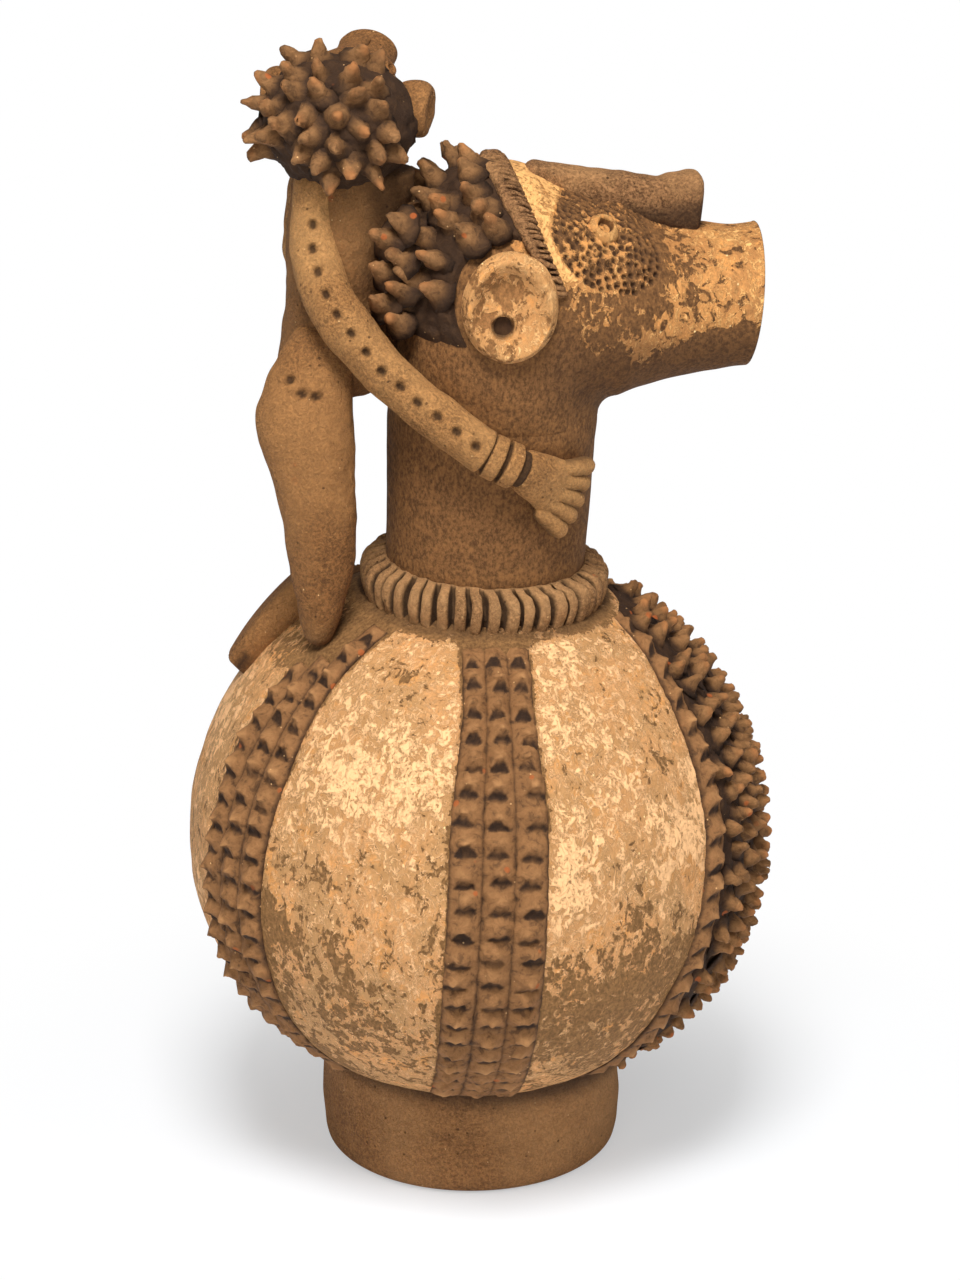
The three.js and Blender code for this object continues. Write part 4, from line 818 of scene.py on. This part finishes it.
PINCH = 11.6  # from one pinch to the next, a finger's width
RIDER = np.array([-69.5, 0.0, 315.8])  # the middle of the rider's head
hair_clay = horn_clay("hair clay", (52, 33, 18), (120, 84, 50), (170, 111, 63))
crown = math.pi / 2 * 97  # length of the crown line
spots = staggered(0.2, 0.672, PINCH / crown, lambda share: math.degrees(12 / 58), lambda share: 104, 20)
share, angle = spots.T
skin_at = head_at(share, angle, 1.5)
normal = np.cross(head_at(share, angle + 1, 1.5) - skin_at, head_at(share + 0.01, angle, 1.5) - skin_at)
normal = unit(normal) * np.sign(np.einsum("ij,ij->i", normal, skin_at - (10, 0, 240)))[:, None]
x, y, z = skin_at.T
on_ear = (np.abs(y) > 25) & (np.hypot((x - ear_at[0]) / 24, (z - ear_at[2]) / 28) < 1)
on_cheek = (x > ear_at[0] - 2) & (z < ear_at[2])
near_rider = np.linalg.norm(skin_at + 12 * normal - RIDER, axis=1) < 32
kept = ~(on_ear | on_cheek | near_rider | (z < 240))
rng = np.random.default_rng(21)
long = (12 + 2.6 * smooth(15, 40, -x)) * rng.uniform(0.82, 1.02, len(x))
long *= np.where((x < -34) & (np.abs(y) < 17), 0.65, 1)
pull = normal + (-0.25, 0, 0.2) + rng.normal(size=normal.shape) * 0.1
# More horns stand on the clay that was packed between the head and the rider's trunk.
packed = np.array([(-44 - 6.5 * (k % 2), -24 + 2.0 * (k % 2), 237 + 7.0 * k) for k in range(7)])
packed = np.concatenate([packed, packed * (1, -1, 1)])
roots = np.concatenate([skin_at[kept], packed])
pull = np.concatenate([pull[kept], np.sign(packed) * (0.75, 0.6, 0.45)])
long = np.concatenate([long[kept], np.full(len(packed), 11.5)])
hair_horns = horns(roots, pull, long, rng.uniform(4.3, 5.1, len(long)), 22)
u, v = np.linspace(0.17, 0.68, 90)[:, None], np.linspace(-106, 106, 220)
at = head_at(u, v)
x, z = at[..., 0] - ear_at[0], at[..., 2] - ear_at[2]
ear_gap = np.where(np.abs(at[..., 1]) > 25, smooth(1.0, 1.1, np.hypot(x / 21, z / 25)), 1)
cheek = 1 - smooth(0, 5, x) * smooth(4, 0, z)
edge = blunt(90, 6)[:, None] * blunt(220, 8) * smooth(228, 236, at[..., 2])
height = -1 + (3.2 + 0.7 * lumps(at, 11, 23)) * edge * ear_gap * cheek
coat = slab(head_at(u, v, height), head_at(u, v, -3))
horned_piece("hair_piece", coat, hair_horns, hair_clay, "hair")


# Front panel. A thin sheet of clay on the front of the belly, covered with horns like the hair's.
def belly_at(azimuth, latitude, aside, height):
    """A point over the belly: azimuth from the snout's side and latitude, then a step aside, in degrees,
    and a height along the surface's normal."""
    a, b, s, height = np.broadcast_arrays(*(np.radians(v) for v in (azimuth, latitude, aside)), height)
    x = np.cos(a) * np.cos(b) * np.cos(s) - np.sin(a) * np.sin(s)
    y = np.sin(a) * np.cos(b) * np.cos(s) + np.cos(a) * np.sin(s)
    z = np.sin(b) * np.cos(s)
    flat = np.where(z < 0, DEPTH / BELLY, 1)
    skin = np.stack([x, y, z * flat], -1) * BELLY
    return skin + unit(np.stack([x, y, z / flat], -1)) * height[..., None]


def arc(length):
    """A length on the belly as an angle at its middle, in degrees."""
    return np.degrees(length / BELLY)


def shrink(latitude):
    """How high horns and fillets stand, as a share: they halve towards the foot."""
    return 1 - 0.5 * smooth(15, 50, -latitude)


def lane_width(latitude):
    """The width of one fillet in degrees: a pinch, 2 mm more at the widest line, less at the collar."""
    return arc(PINCH + 2 * np.cos(np.radians(latitude)) ** 2) * narrowing(latitude)


def border_at(latitude):
    """Azimuth of the panel's edge: a little wider towards the foot, and drawn in under the collar."""
    drawn_in = 9 * np.maximum(0, (latitude - 40) / 20) ** 1.5
    return np.minimum(46, 42 - 0.2 * latitude - drawn_in)


def panel_reach(latitude):
    """Azimuth up to which the panel goes: its edge, less half a fillet and a small gap."""
    return border_at(latitude) - (lane_width(latitude) / 2 + arc(0.6)) / np.cos(np.radians(latitude))


BAND_TOP = math.degrees(math.acos(50.45 / BELLY)) - 4  # latitudes where bands and panel start and end
BAND_LOW = 2.8 - math.degrees(math.acos(64.5 / BELLY))
panel_clay = horn_clay("panel clay", (50, 31, 17), (126, 88, 52), (182, 119, 68))
place_pitch = lambda latitude: arc(PINCH) / math.cos(math.radians(latitude))
spots = staggered(BAND_TOP - 2, BAND_LOW + 3, -arc(11.2), place_pitch, panel_reach, 24)
latitude, azimuth = spots.T
high = shrink(latitude)
roots = belly_at(azimuth, latitude, 0.0, 1.2)
rng = np.random.default_rng(25)
pull = unit(belly_at(azimuth, latitude, 0.0, 9.0) - roots) + rng.normal(size=roots.shape) * 0.12
long = (1.0 + 6.9 * high) * rng.uniform(0.86, 1.0, len(high))
panel_horns = horns(roots, pull, long, rng.uniform(3.6, 4.3, len(high)) * (0.6 + 0.4 * high), 26)
u = np.linspace(BAND_TOP, BAND_LOW, 150)[:, None]
v = np.linspace(-1, 1, 110) * (panel_reach(u) + 1.5)
height = -1 + (2.2 + 0.6 * lumps(belly_at(v, u, 0.0, 0.0), 9, 27)) * blunt(150, 4)[:, None] * blunt(110, 4)
coat = slab(belly_at(v, u, 0.0, height), belly_at(v, u, 0.0, -3.0))
horned_piece("panel_piece", coat, panel_horns, panel_clay, "front_horn_panel")


# Fillets. Ropes of clay laid down the belly, three to a band and one on each side of the panel. Each was
# pinched along its length with thumb and finger, so that it carries a row of blunt tips that hang down.
def fillet_rings(azimuth, lane, top, seed):
    """Sections across a fillet, from its top to its foot, and for each point a value from 0, the painted
    shade of the roots, to 1, a worn tip. Each pinch is a blunt cone on the rope: its height falls evenly
    with the distance from its tip, in a short way above and a longer one below. The thumb left a hollow
    under each tip, which widens downwards and is darkened with painted shade, more under some tips than
    under others."""
    rng = np.random.default_rng(seed)
    count = round((top - BAND_LOW) / arc(PINCH))
    along = np.linspace(0, count, count * 20, endpoint=False)[:, None] + 0.02
    u = np.linspace(-1, 1, 25)
    latitude = top - (top - BAND_LOW) * along / count + 0 * u
    small = shrink(latitude) * smooth(-0.8, 1.6, along)
    past = along[..., None] - (np.arange(count) + 0.42 + rng.uniform(-0.12, 0.12, count))
    across = u[:, None] - 0.12 * lane - rng.uniform(-0.24, 0.24, count)
    reach = np.hypot(past * np.where(past < 0, 2.0, 1.6), across)
    cones = np.clip(1 - reach, 0, 1) ** 1.2 * rng.uniform(0.7, 1.04, count)
    cone, nearest = cones.max(-1), cones.argmax(-1)
    painted_shade = rng.uniform(0.65, 1.15, count)[nearest]
    row, column = np.indices(nearest.shape)
    past, across = past[row, 0, nearest], np.abs(across[column, nearest])
    hollow = smooth(0.0, 0.1, past) * smooth(0.66, 0.3, past) * smooth(0.4, 0.05, across - 0.9 * past)
    height = -0.6 + (2.0 + 4.9 * cone - 1.2 * hollow) * (1 - 0.6 * np.abs(u) ** 4) * small
    hang = arc(0.9) * cone**1.5 * small
    aside = lane * lane_width(latitude) + u * lane_width(latitude) * 0.54 + lane * arc(0.5) * cone
    azimuth = azimuth(latitude) if callable(azimuth) else azimuth
    surface = belly_at(azimuth, latitude - hang, aside, height)
    surface += lumps(surface, 7, seed + 1, 2)[..., None] * 0.3
    base = belly_at(azimuth, latitude, aside, -2.0)[:, ::12]
    # Low values take the painted shade: in the hollow under each tip and in the grooves at the fillet's
    # edges.
    tip = np.clip(0.3 + 0.75 * cone - 0.62 * hollow * painted_shade - 0.2 * smooth(0.7, 1, np.abs(u)), 0, 1)
    return slab(surface, base), np.concatenate([tip, 0 * tip[:, ::12]], axis=1)


band_clay = horn_clay("band clay", (46, 29, 17), (137, 95, 57), (192, 140, 89))
KNEE_X, KNEE_Y = 70.5, 21.5  # how far behind and beside the neck's line the rider kneels
KNEE = math.degrees(math.acos(math.hypot(KNEE_X, KNEE_Y) / BELLY))
tops = {"right": (KNEE - 6, KNEE - 3, BAND_TOP), "left": (BAND_TOP, BAND_TOP, BAND_TOP - 7)}
fillets = []
for name, sign in SIDES:
    border = lambda latitude, sign=sign: sign * border_at(latitude)
    fillets.append(("front_border_fillet_" + name, border, 0, BAND_TOP))
    for lane in (-1, 0, 1):
        fillets.append((f"side_fillet_{name}_{lane + 2}", sign * SIDE_BAND, lane, BAND_TOP))
        fillets.append((f"back_fillet_{name}_{lane + 2}", BACK_BANDS[name], lane, tops[name][lane + 1]))
for seed, (node, azimuth, lane, top) in enumerate(fillets, 30):
    rings, tip = fillet_rings(azimuth, lane, top, seed)
    clay_piece(node + "_piece", [shell(rings)], band_clay, "dark_clay", node, tip=tip)


# Rider's trunk and legs. Thick rolls of clay that stand on the shoulder and lean on the neck. Holes
# pressed with a stick run across the hip.
def stacked(stations, count, soft):
    """Level ovals stacked up through stations of height, back, front, middle and half width. The stations
    are evened out by height, and the steps between them are rounded."""
    stations = np.asarray(stations, float)
    at = np.linspace(stations[0, 0], stations[-1, 0], count)
    stations = np.stack([np.interp(at, stations[:, 0], column) for column in stations.T], -1)
    z, back, front, middle, half = soften(stations, soft).T[:, :, None]
    turn = circle(72)
    x = (back + front) / 2 + (front - back) / 2 * np.cos(turn)
    return np.stack([x, middle + half * np.sin(turn), z + 0 * turn], -1)


def dimpled(rings, spots, seed):
    """Adds the unevenness of the hand and the stick's holes to a roll of clay, with the painted shade in the
    holes.
    """
    surface = rings.reshape(-1, 3)
    spots = [surface[np.linalg.norm(surface - spot, axis=1).argmin()] for spot in spots]
    drop = pressed(rings, spots, 2.3, 2.6, 0.6)
    return rings + outward(rings) * (lumps(rings, 26, seed) * 0.45 - drop)[..., None], smooth(0.6, 2.4, drop)


def capped(rings, steps):
    """Rounds the ends of a roll: the sections there shrink towards their own middles."""
    middle = rings.mean(1, keepdims=True)
    return middle + (rings - middle) * blunt(len(rings), steps)[:, None, None]


body = [
    (198, -87, -56, 0, 12.1), (204, -92.5, -47, 0, 17.6), (218, -91, -41, 0, 20.9), (240, -89, -42, 0, 20.2),
    (256, -89.5, -44, 0, 21), (276, -89, -40, 0, 19.8), (298, -87, -37, 0, 15.4),
]
rings = dimpled(capped(stacked(body, 130, 5), 4), [], 50)[0]
# Painted shade darkens the trunk all over, and more on its front, where it meets the neck under the head.
painted_shade = 0.35 + 0.45 * smooth(236, 262, rings[..., 2]) * smooth(-66, -52, rings[..., 0])
clay_piece("rider_trunk_piece", [shell(rings)], brown_clay, "brown_clay", "rider_trunk", deep=painted_shade)

# A leg's stations: the share of the way from knee to hip, how far the thigh bulges back, where its front
# lies, how far out its middle lies as a share of the knee's, and its half width.
LEG = np.array([
    (0, 7, -68.5, 1, 7), (0.05, 9, -66, 1, 8.4), (0.14, 11, -63, 1, 9.8), (0.27, 14.5, -58.5, 1, 12.4),
    (0.42, 18, -58.2, 1, 14.4), (0.59, 23, -59.2, 1, 15.5), (0.72, 29, -60.5, 1, 16),
    (0.8, 31.8, -61, 0.98, 16), (0.88, 31.4, -61.5, 0.94, 15.2), (0.94, 28.5, -61.5, 0.88, 14),
    (1, 24.5, -61, 0.8, 12.2), (1.08, 19.5, -60.5, 0.68, 9.5), (1.16, 14, -61, 0.55, 6),
])
HIP = 217
knee = math.sqrt(BELLY**2 - math.hypot(KNEE_X, KNEE_Y) ** 2)
for name, sign in SIDES:
    share, bulge, front, out, half = LEG.T
    bulge = bulge * (0.62 if sign > 0 else 1)
    thigh = [knee - 2 + (HIP - knee) * share, -KNEE_X - bulge, front, sign * KNEE_Y * out, half]
    holes = np.array([(-92.5, 31.0, 217), (-86, 37, 212), (-77.5, 38.5, 210)]) * (1, sign, 1)
    rings, deep = dimpled(capped(stacked(np.stack(thigh, -1), 150, 4), 5), holes, 51 + sign)
    # Painted shade darkens the stick's holes, and the foot of the leg, where it meets the belly.
    clay_piece(
        "rider_leg_piece_" + name, [shell(rings)], brown_clay, "brown_clay", "rider_leg_" + name,
        deep=deep + 0.5 * smooth(knee + 10, knee, rings[..., 2]),
    )

# Left foot. A flat slab that trails down the shoulder behind the left knee, with cuts for the toes.
share = np.linspace(0, 1, 70)[:, None]
slide = np.radians(34.5 + arc(45) * share)
span = np.linspace(-1, 1, 40)
y = 23.5 + 11.8 * span * np.sqrt(1 - 0.25 * smooth(0.8, 1, share) ** 2)
toes = smooth(0.78, 0.84, share) * np.exp(-((np.abs((span * 2.5) % 1 - 0.5) / 0.1) ** 2))
thick = (14.9 - 6.4 * share) * np.sqrt(1 - np.abs(span) ** 9 * 0.6) * blunt(70, 2)[:, None] - 2.2 * toes
r = np.sqrt(BELLY**2 - y**2)
sole = np.stack([-r * np.sin(slide), y, r * np.cos(slide)], -1)
rings = slab(sole * (1 + thick / BELLY)[..., None], sole * (1 - 2 / BELLY))
# Painted shade darkens the cuts between the toes.
painted_shade = np.concatenate([toes, 0 * toes], axis=1)
clay_piece("rider_foot_piece", [shell(rings)], brown_clay, "brown_clay", "rider_foot_left", deep=painted_shade)


# Rider's arms. Rolls of clay that come down from the shoulders and wind round the neck. A row of stick
# holes runs down each, and two flat bracelets are cut at the wrist.
def neck_at(sign, angle, height, depth):
    """A point over the neck: the angle is counted from the back, in degrees."""
    r, angle = NECK + depth, np.radians(angle)
    return np.stack([-r * np.cos(angle), sign * r * np.sin(angle), height + 0 * angle], -1)


def neck_roll(line, wide, deep, sides, square=2.0):
    """A rod of clay along a line round the neck, its depth measured away from the neck."""
    return tube(line, wide, deep, line * (1, 1, 0), sides, square)


def arm_height(angle):
    """Height of the forearm at an angle round the neck: it falls evenly towards the hand's side."""
    return 187 + (CUFF + 7 - angle) * SLOPE


def band_start(k):
    """Angle where bracelet k starts, counted from 0; k 2 is where the hand starts."""
    return CUFF + (1.1 + k * 7.2) * PER_MM


arm_clay = bare_clay("arm clay", (112, 75, 40), (184, 130, 75), (210, 157, 97))
ARM = 9.6  # the arm's radius
CUFF = 79.0  # angle of the wrist
SLOPE = (NECK_TOP + 16 - 187) / (CUFF + 7 - 32)
PER_MM = 1 / math.hypot(math.radians(NECK + ARM), SLOPE)  # degrees round the neck for 1 mm of the arm
upper_arm = np.array([
    (-77, 3, 297), (-79, 7, 285), (-79.8, 11.5, 272), (-79, 17.5, 259), (-76, 23.5, 250),
    (-72, 28, 243.5), (-66, 31.5, 236.5), (-59, 33, 228), (-52, 34.5, 219),
])
for name, sign in SIDES:
    angle = np.array([43, 51, 59, 67, 75, CUFF, CUFF + 20 * PER_MM])
    raised = arm_height(angle) + 0.165 * np.clip(CUFF - angle, 0, None)
    forearm = neck_at(sign, angle, raised, ARM - 1 + 0.2 * np.clip(59 - angle, 0, None))
    line = drawn(np.concatenate([upper_arm * (1, sign, 1), forearm]), 240, 8)
    x, y, z = line.T
    wrist = smooth(CUFF - 0.3, CUFF + 0.3, np.degrees(np.arctan2(sign * y, -x))) * (z < 230)
    radius = ARM + 0.9 * smooth(212, 240, z) - 0.6 * smooth(250, 272, z) - 1.9 * wrist
    first, last = np.abs(z - 274).argmin(), np.nonzero(wrist > 0.5)[0][0] - 6
    marks = np.linspace(first, last, 13).astype(int)
    holes = line[marks] + np.array([-0.2, 0.92 * sign, 0.33]) * radius[marks, None]
    rings, deep = dimpled(capped(neck_roll(line, radius, radius, 60), 4), holes, 54 + sign)
    # Painted shade darkens the stick's holes, and the wrist between the bracelets.
    clay_piece(
        "rider_arm_piece_" + name, [shell(rings)], arm_clay, "brown_clay", "rider_arm_" + name,
        deep=np.maximum(deep, wrist[:, None]),
    )
    for k in (0, 1):
        angle = band_start(k) + np.linspace(0, 5.6, 14) * PER_MM
        line = neck_at(sign, angle, arm_height(angle), ARM - 1)
        hoop = 9.6 * (0.9 + 0.1 * blunt(14, 2))
        inner = np.roll(neck_roll(line[::-1], 6.5, 6.5, 60)[:, ::-1], 1, axis=1)
        rings = np.concatenate([neck_roll(line, hoop, hoop, 60), inner])
        rings = rings + lumps(rings, 16, 57 + k)[..., None] * 0.12
        # Painted shade darkens the bracelet's ends and its inner wall.
        clay_piece(
            f"rider_bracelet_piece_{name}_{k + 1}", [shell(rings, loop=True)],
            arm_clay, "brown_clay", f"rider_bracelet_{name}_{k + 1}",
            deep=[(1 - blunt(14, 1.5))[:, None] * np.ones(60), np.ones((14, 60))],
        )


# Rider's hands. A flattened palm with five short rolls for fingers, pressed on the neck.
def palm_height(angle):
    """Height of the palm at an angle round the neck: it falls evenly, a little faster than the arm."""
    return arm_height(HAND) - (angle - HAND) * 0.54


HAND = band_start(2) + 0.3 * PER_MM
PALM_END = HAND + 24 * PER_MM
FINGERS = (14, 15, 15.5, 15, 13)  # their lengths, from the highest down
finger_shade = 0.75 * np.abs(np.sin(circle(24))) ** 3 + np.zeros((34, 24))  # painted shade along the sides of a finger
for name, sign in SIDES:
    share = np.linspace(-0.01, 1.06, 40)
    angle = HAND + (PALM_END - HAND) * share
    wide = np.interp(share, [-0.22, 0, 0.4, 1, 1.06], [8, 8.4, 10.4, 12.5, 11.8])
    deep = np.interp(share, [-0.22, 0, 0.4, 1, 1.06], [7.6, 7.8, 6.6, 4.4, 4])
    line = neck_at(sign, angle, palm_height(angle), deep - 0.8)
    parts = [uneven(capped(neck_roll(line, wide, deep, 60, 2.3), 4), 20, 60 + sign, 0.3)]
    for i, length in enumerate(FINGERS):
        along = np.linspace(-7, length, 34)
        dip = math.radians(10 + 8 * i)
        angle = PALM_END + 6.5 - 3.4 * i + np.degrees(along * math.cos(dip) / (NECK + 3.6))
        level = palm_height(PALM_END) + 9 - 5.0 * i
        line = neck_at(sign, angle, level - along * math.sin(dip), 5.0 - 0.1 * along)
        thick = np.interp(along, [-7, 0, length * 0.6, length], [2.9, 3.7, 4.1, 3.7])
        rings = capped(neck_roll(line, thick, thick, 24), 5)
        parts.append(rings + lumps(rings, 9, 62 + i)[..., None] * 0.15)
    clay_piece(
        "rider_hand_piece_" + name, [shell(rings) for rings in parts],
        arm_clay, "brown_clay", "rider_hand_" + name, deep=[0 * parts[0][..., 0], *[finger_shade] * 5],
    )

# Rider's head. A skull that runs out into a snout like the big one's, turned aside and up, with the same
# horned hair at its back and a disc for each ear.
TURN = math.radians(70)
TILT = math.radians(20)
face_way = np.array([math.cos(TURN) * math.cos(TILT), math.sin(TURN) * math.cos(TILT), math.sin(TILT)])
left_way = unit(np.cross((0, 0, 1), face_way))
crown_way = np.cross(face_way, left_way)


def rider_at(reach, turn, height=0.0):
    """A point over the rider's head: reach runs from 0 at the back of the skull, over 1 at its widest, to 2
    at the mouth, and turn goes round the line of sight from the left ear over the crown, in degrees."""
    polar, turn = np.radians(90 * np.minimum(reach, 1)), np.radians(turn)
    ahead = np.maximum(reach - 1, 0)
    narrow = 1 - 0.58 * smooth(0, 0.9, ahead)
    x = 52 * ahead - (27 + height) * np.cos(polar)
    y = (30 * narrow + height) * np.sin(polar) * np.cos(turn)
    z = (26 * narrow + height) * np.sin(polar) * np.sin(turn)
    x, y, z = (v[..., None] for v in np.broadcast_arrays(x, y, z))
    return RIDER + x * face_way + y * left_way + z * crown_way


turn = np.linspace(0, 360, 120, endpoint=False)
outer = uneven(rider_at(np.linspace(0.03, 2, 130)[:, None], turn), 30, 70, 0.5)
mouth = np.array([(2.01, -0.6), (2.0, -2), (1.97, -4), (1.8, -4), (1.6, -4)])
mouth = rider_at(mouth[:, :1], turn, mouth[:, 1:])
# Painted shade darkens the inside of the mouth.
clay_piece(
    "rider_head_piece", [shell(np.concatenate([outer, mouth]))], brown_clay, "brown_clay", "rider_head",
    deep=[0 * outer[..., 0], 0 * mouth[..., 0] + 0.7],
)

row_pitch = 10.4 / (math.pi / 2) / 29
place_pitch = lambda reach: math.degrees(10.6 / (28 * math.sin(math.radians(90 * min(reach, 1)))))
spots = staggered(row_pitch * 0.5, 1.2, row_pitch, place_pitch, lambda reach: 180, 71)
reach, round_at = np.concatenate([[(0.02, 0)], spots]).T
roots, tips_at = rider_at(reach, round_at, 1.0), rider_at(reach, round_at, 10.0)
to_left = np.cos(np.radians(round_at))
on_ear = ((reach > 1.0) & (np.abs(to_left) > 0.75)) | ((reach > 0.86) & (to_left < -0.75))
on_trunk = (roots[:, 2] < 303) & (np.abs(roots[:, 1]) < 20)
near_head = (tips_at[:, 0] > -38) & (tips_at[:, 2] < 304)
kept = ~(on_ear | on_trunk | near_head)
rng = np.random.default_rng(72)
pull = (unit(tips_at - roots) + rng.normal(size=roots.shape) * 0.1)[kept]
roots = roots[kept]
long = rng.uniform(9.6, 11.6, len(roots))
# No horn rises past the top of the whole.
steep = unit(pull)[:, 2]
headroom = RIDER[2] + 35.4 - roots[:, 2]
long = np.where(steep > 0.1, np.minimum(long, headroom / np.maximum(steep, 0.1)), long)
rider_horns = horns(roots, pull, long, rng.uniform(4.0, 4.8, len(roots)), 73)
reach = np.linspace(0.02, 1.26, 80)[:, None]
height = -1 + (2.8 + 0.7 * lumps(rider_at(reach, turn), 9, 74)) * (1 - smooth(1.18, 1.26, reach))
coat = np.concatenate([rider_at(reach, turn, height), rider_at(reach[::-1], turn, -3.0)])
horned_piece("rider_hair_piece", coat, rider_horns, hair_clay, "rider_hair")

reach = np.linspace(1.25, 1.88, 50)
line = rider_at(reach, 90.0, 0.2)
up = np.broadcast_to(crown_way, line.shape)
rings = capped(tube(line, 3.2 + 0.8 * (reach - 1.25), 2.5, up, 30), 5)
clean = 0 * rings[..., 0]
clay_piece("rider_nose_piece", [shell(rings)], brown_clay, "brown_clay", "rider_nose", deep=clean)

rider_pellet = [(0.1, -3), (3.6, -3), (3.5, 0), (2.7, 1.6), (1.6, 1.2), (1.1, -0.4), (0.1, -0.8)]
rider_disc = [(0.2, 20), (9, 20), (11.4, 25), (12, 29.5), (11.6, 33), (9.6, 35.4), (6, 34.6), (0.2, 33.6)]
for name, sign in SIDES:
    at = rider_at(1.42, 90 - 48 * sign)
    axis = rider_at(1.42, 90 - 48 * sign, 5.0) - at
    eye = placed(drawn(rider_pellet, 30, 1.2), 32, at, axis)
    ear = placed(drawn(rider_disc, 60, 3), 64, RIDER + 14 * face_way, sign * left_way)
    ear = ear + (lumps(ear, 18, 76 + sign) * 0.4)[..., None] * left_way
    for part, rings in (("eye", eye), ("ear", ear)):
        piece_name, node = f"rider_{part}_piece_{name}", f"rider_{part}_{name}"
        clay_piece(piece_name, [shell(rings)], brown_clay, "brown_clay", node, deep=0 * rings[..., 0])
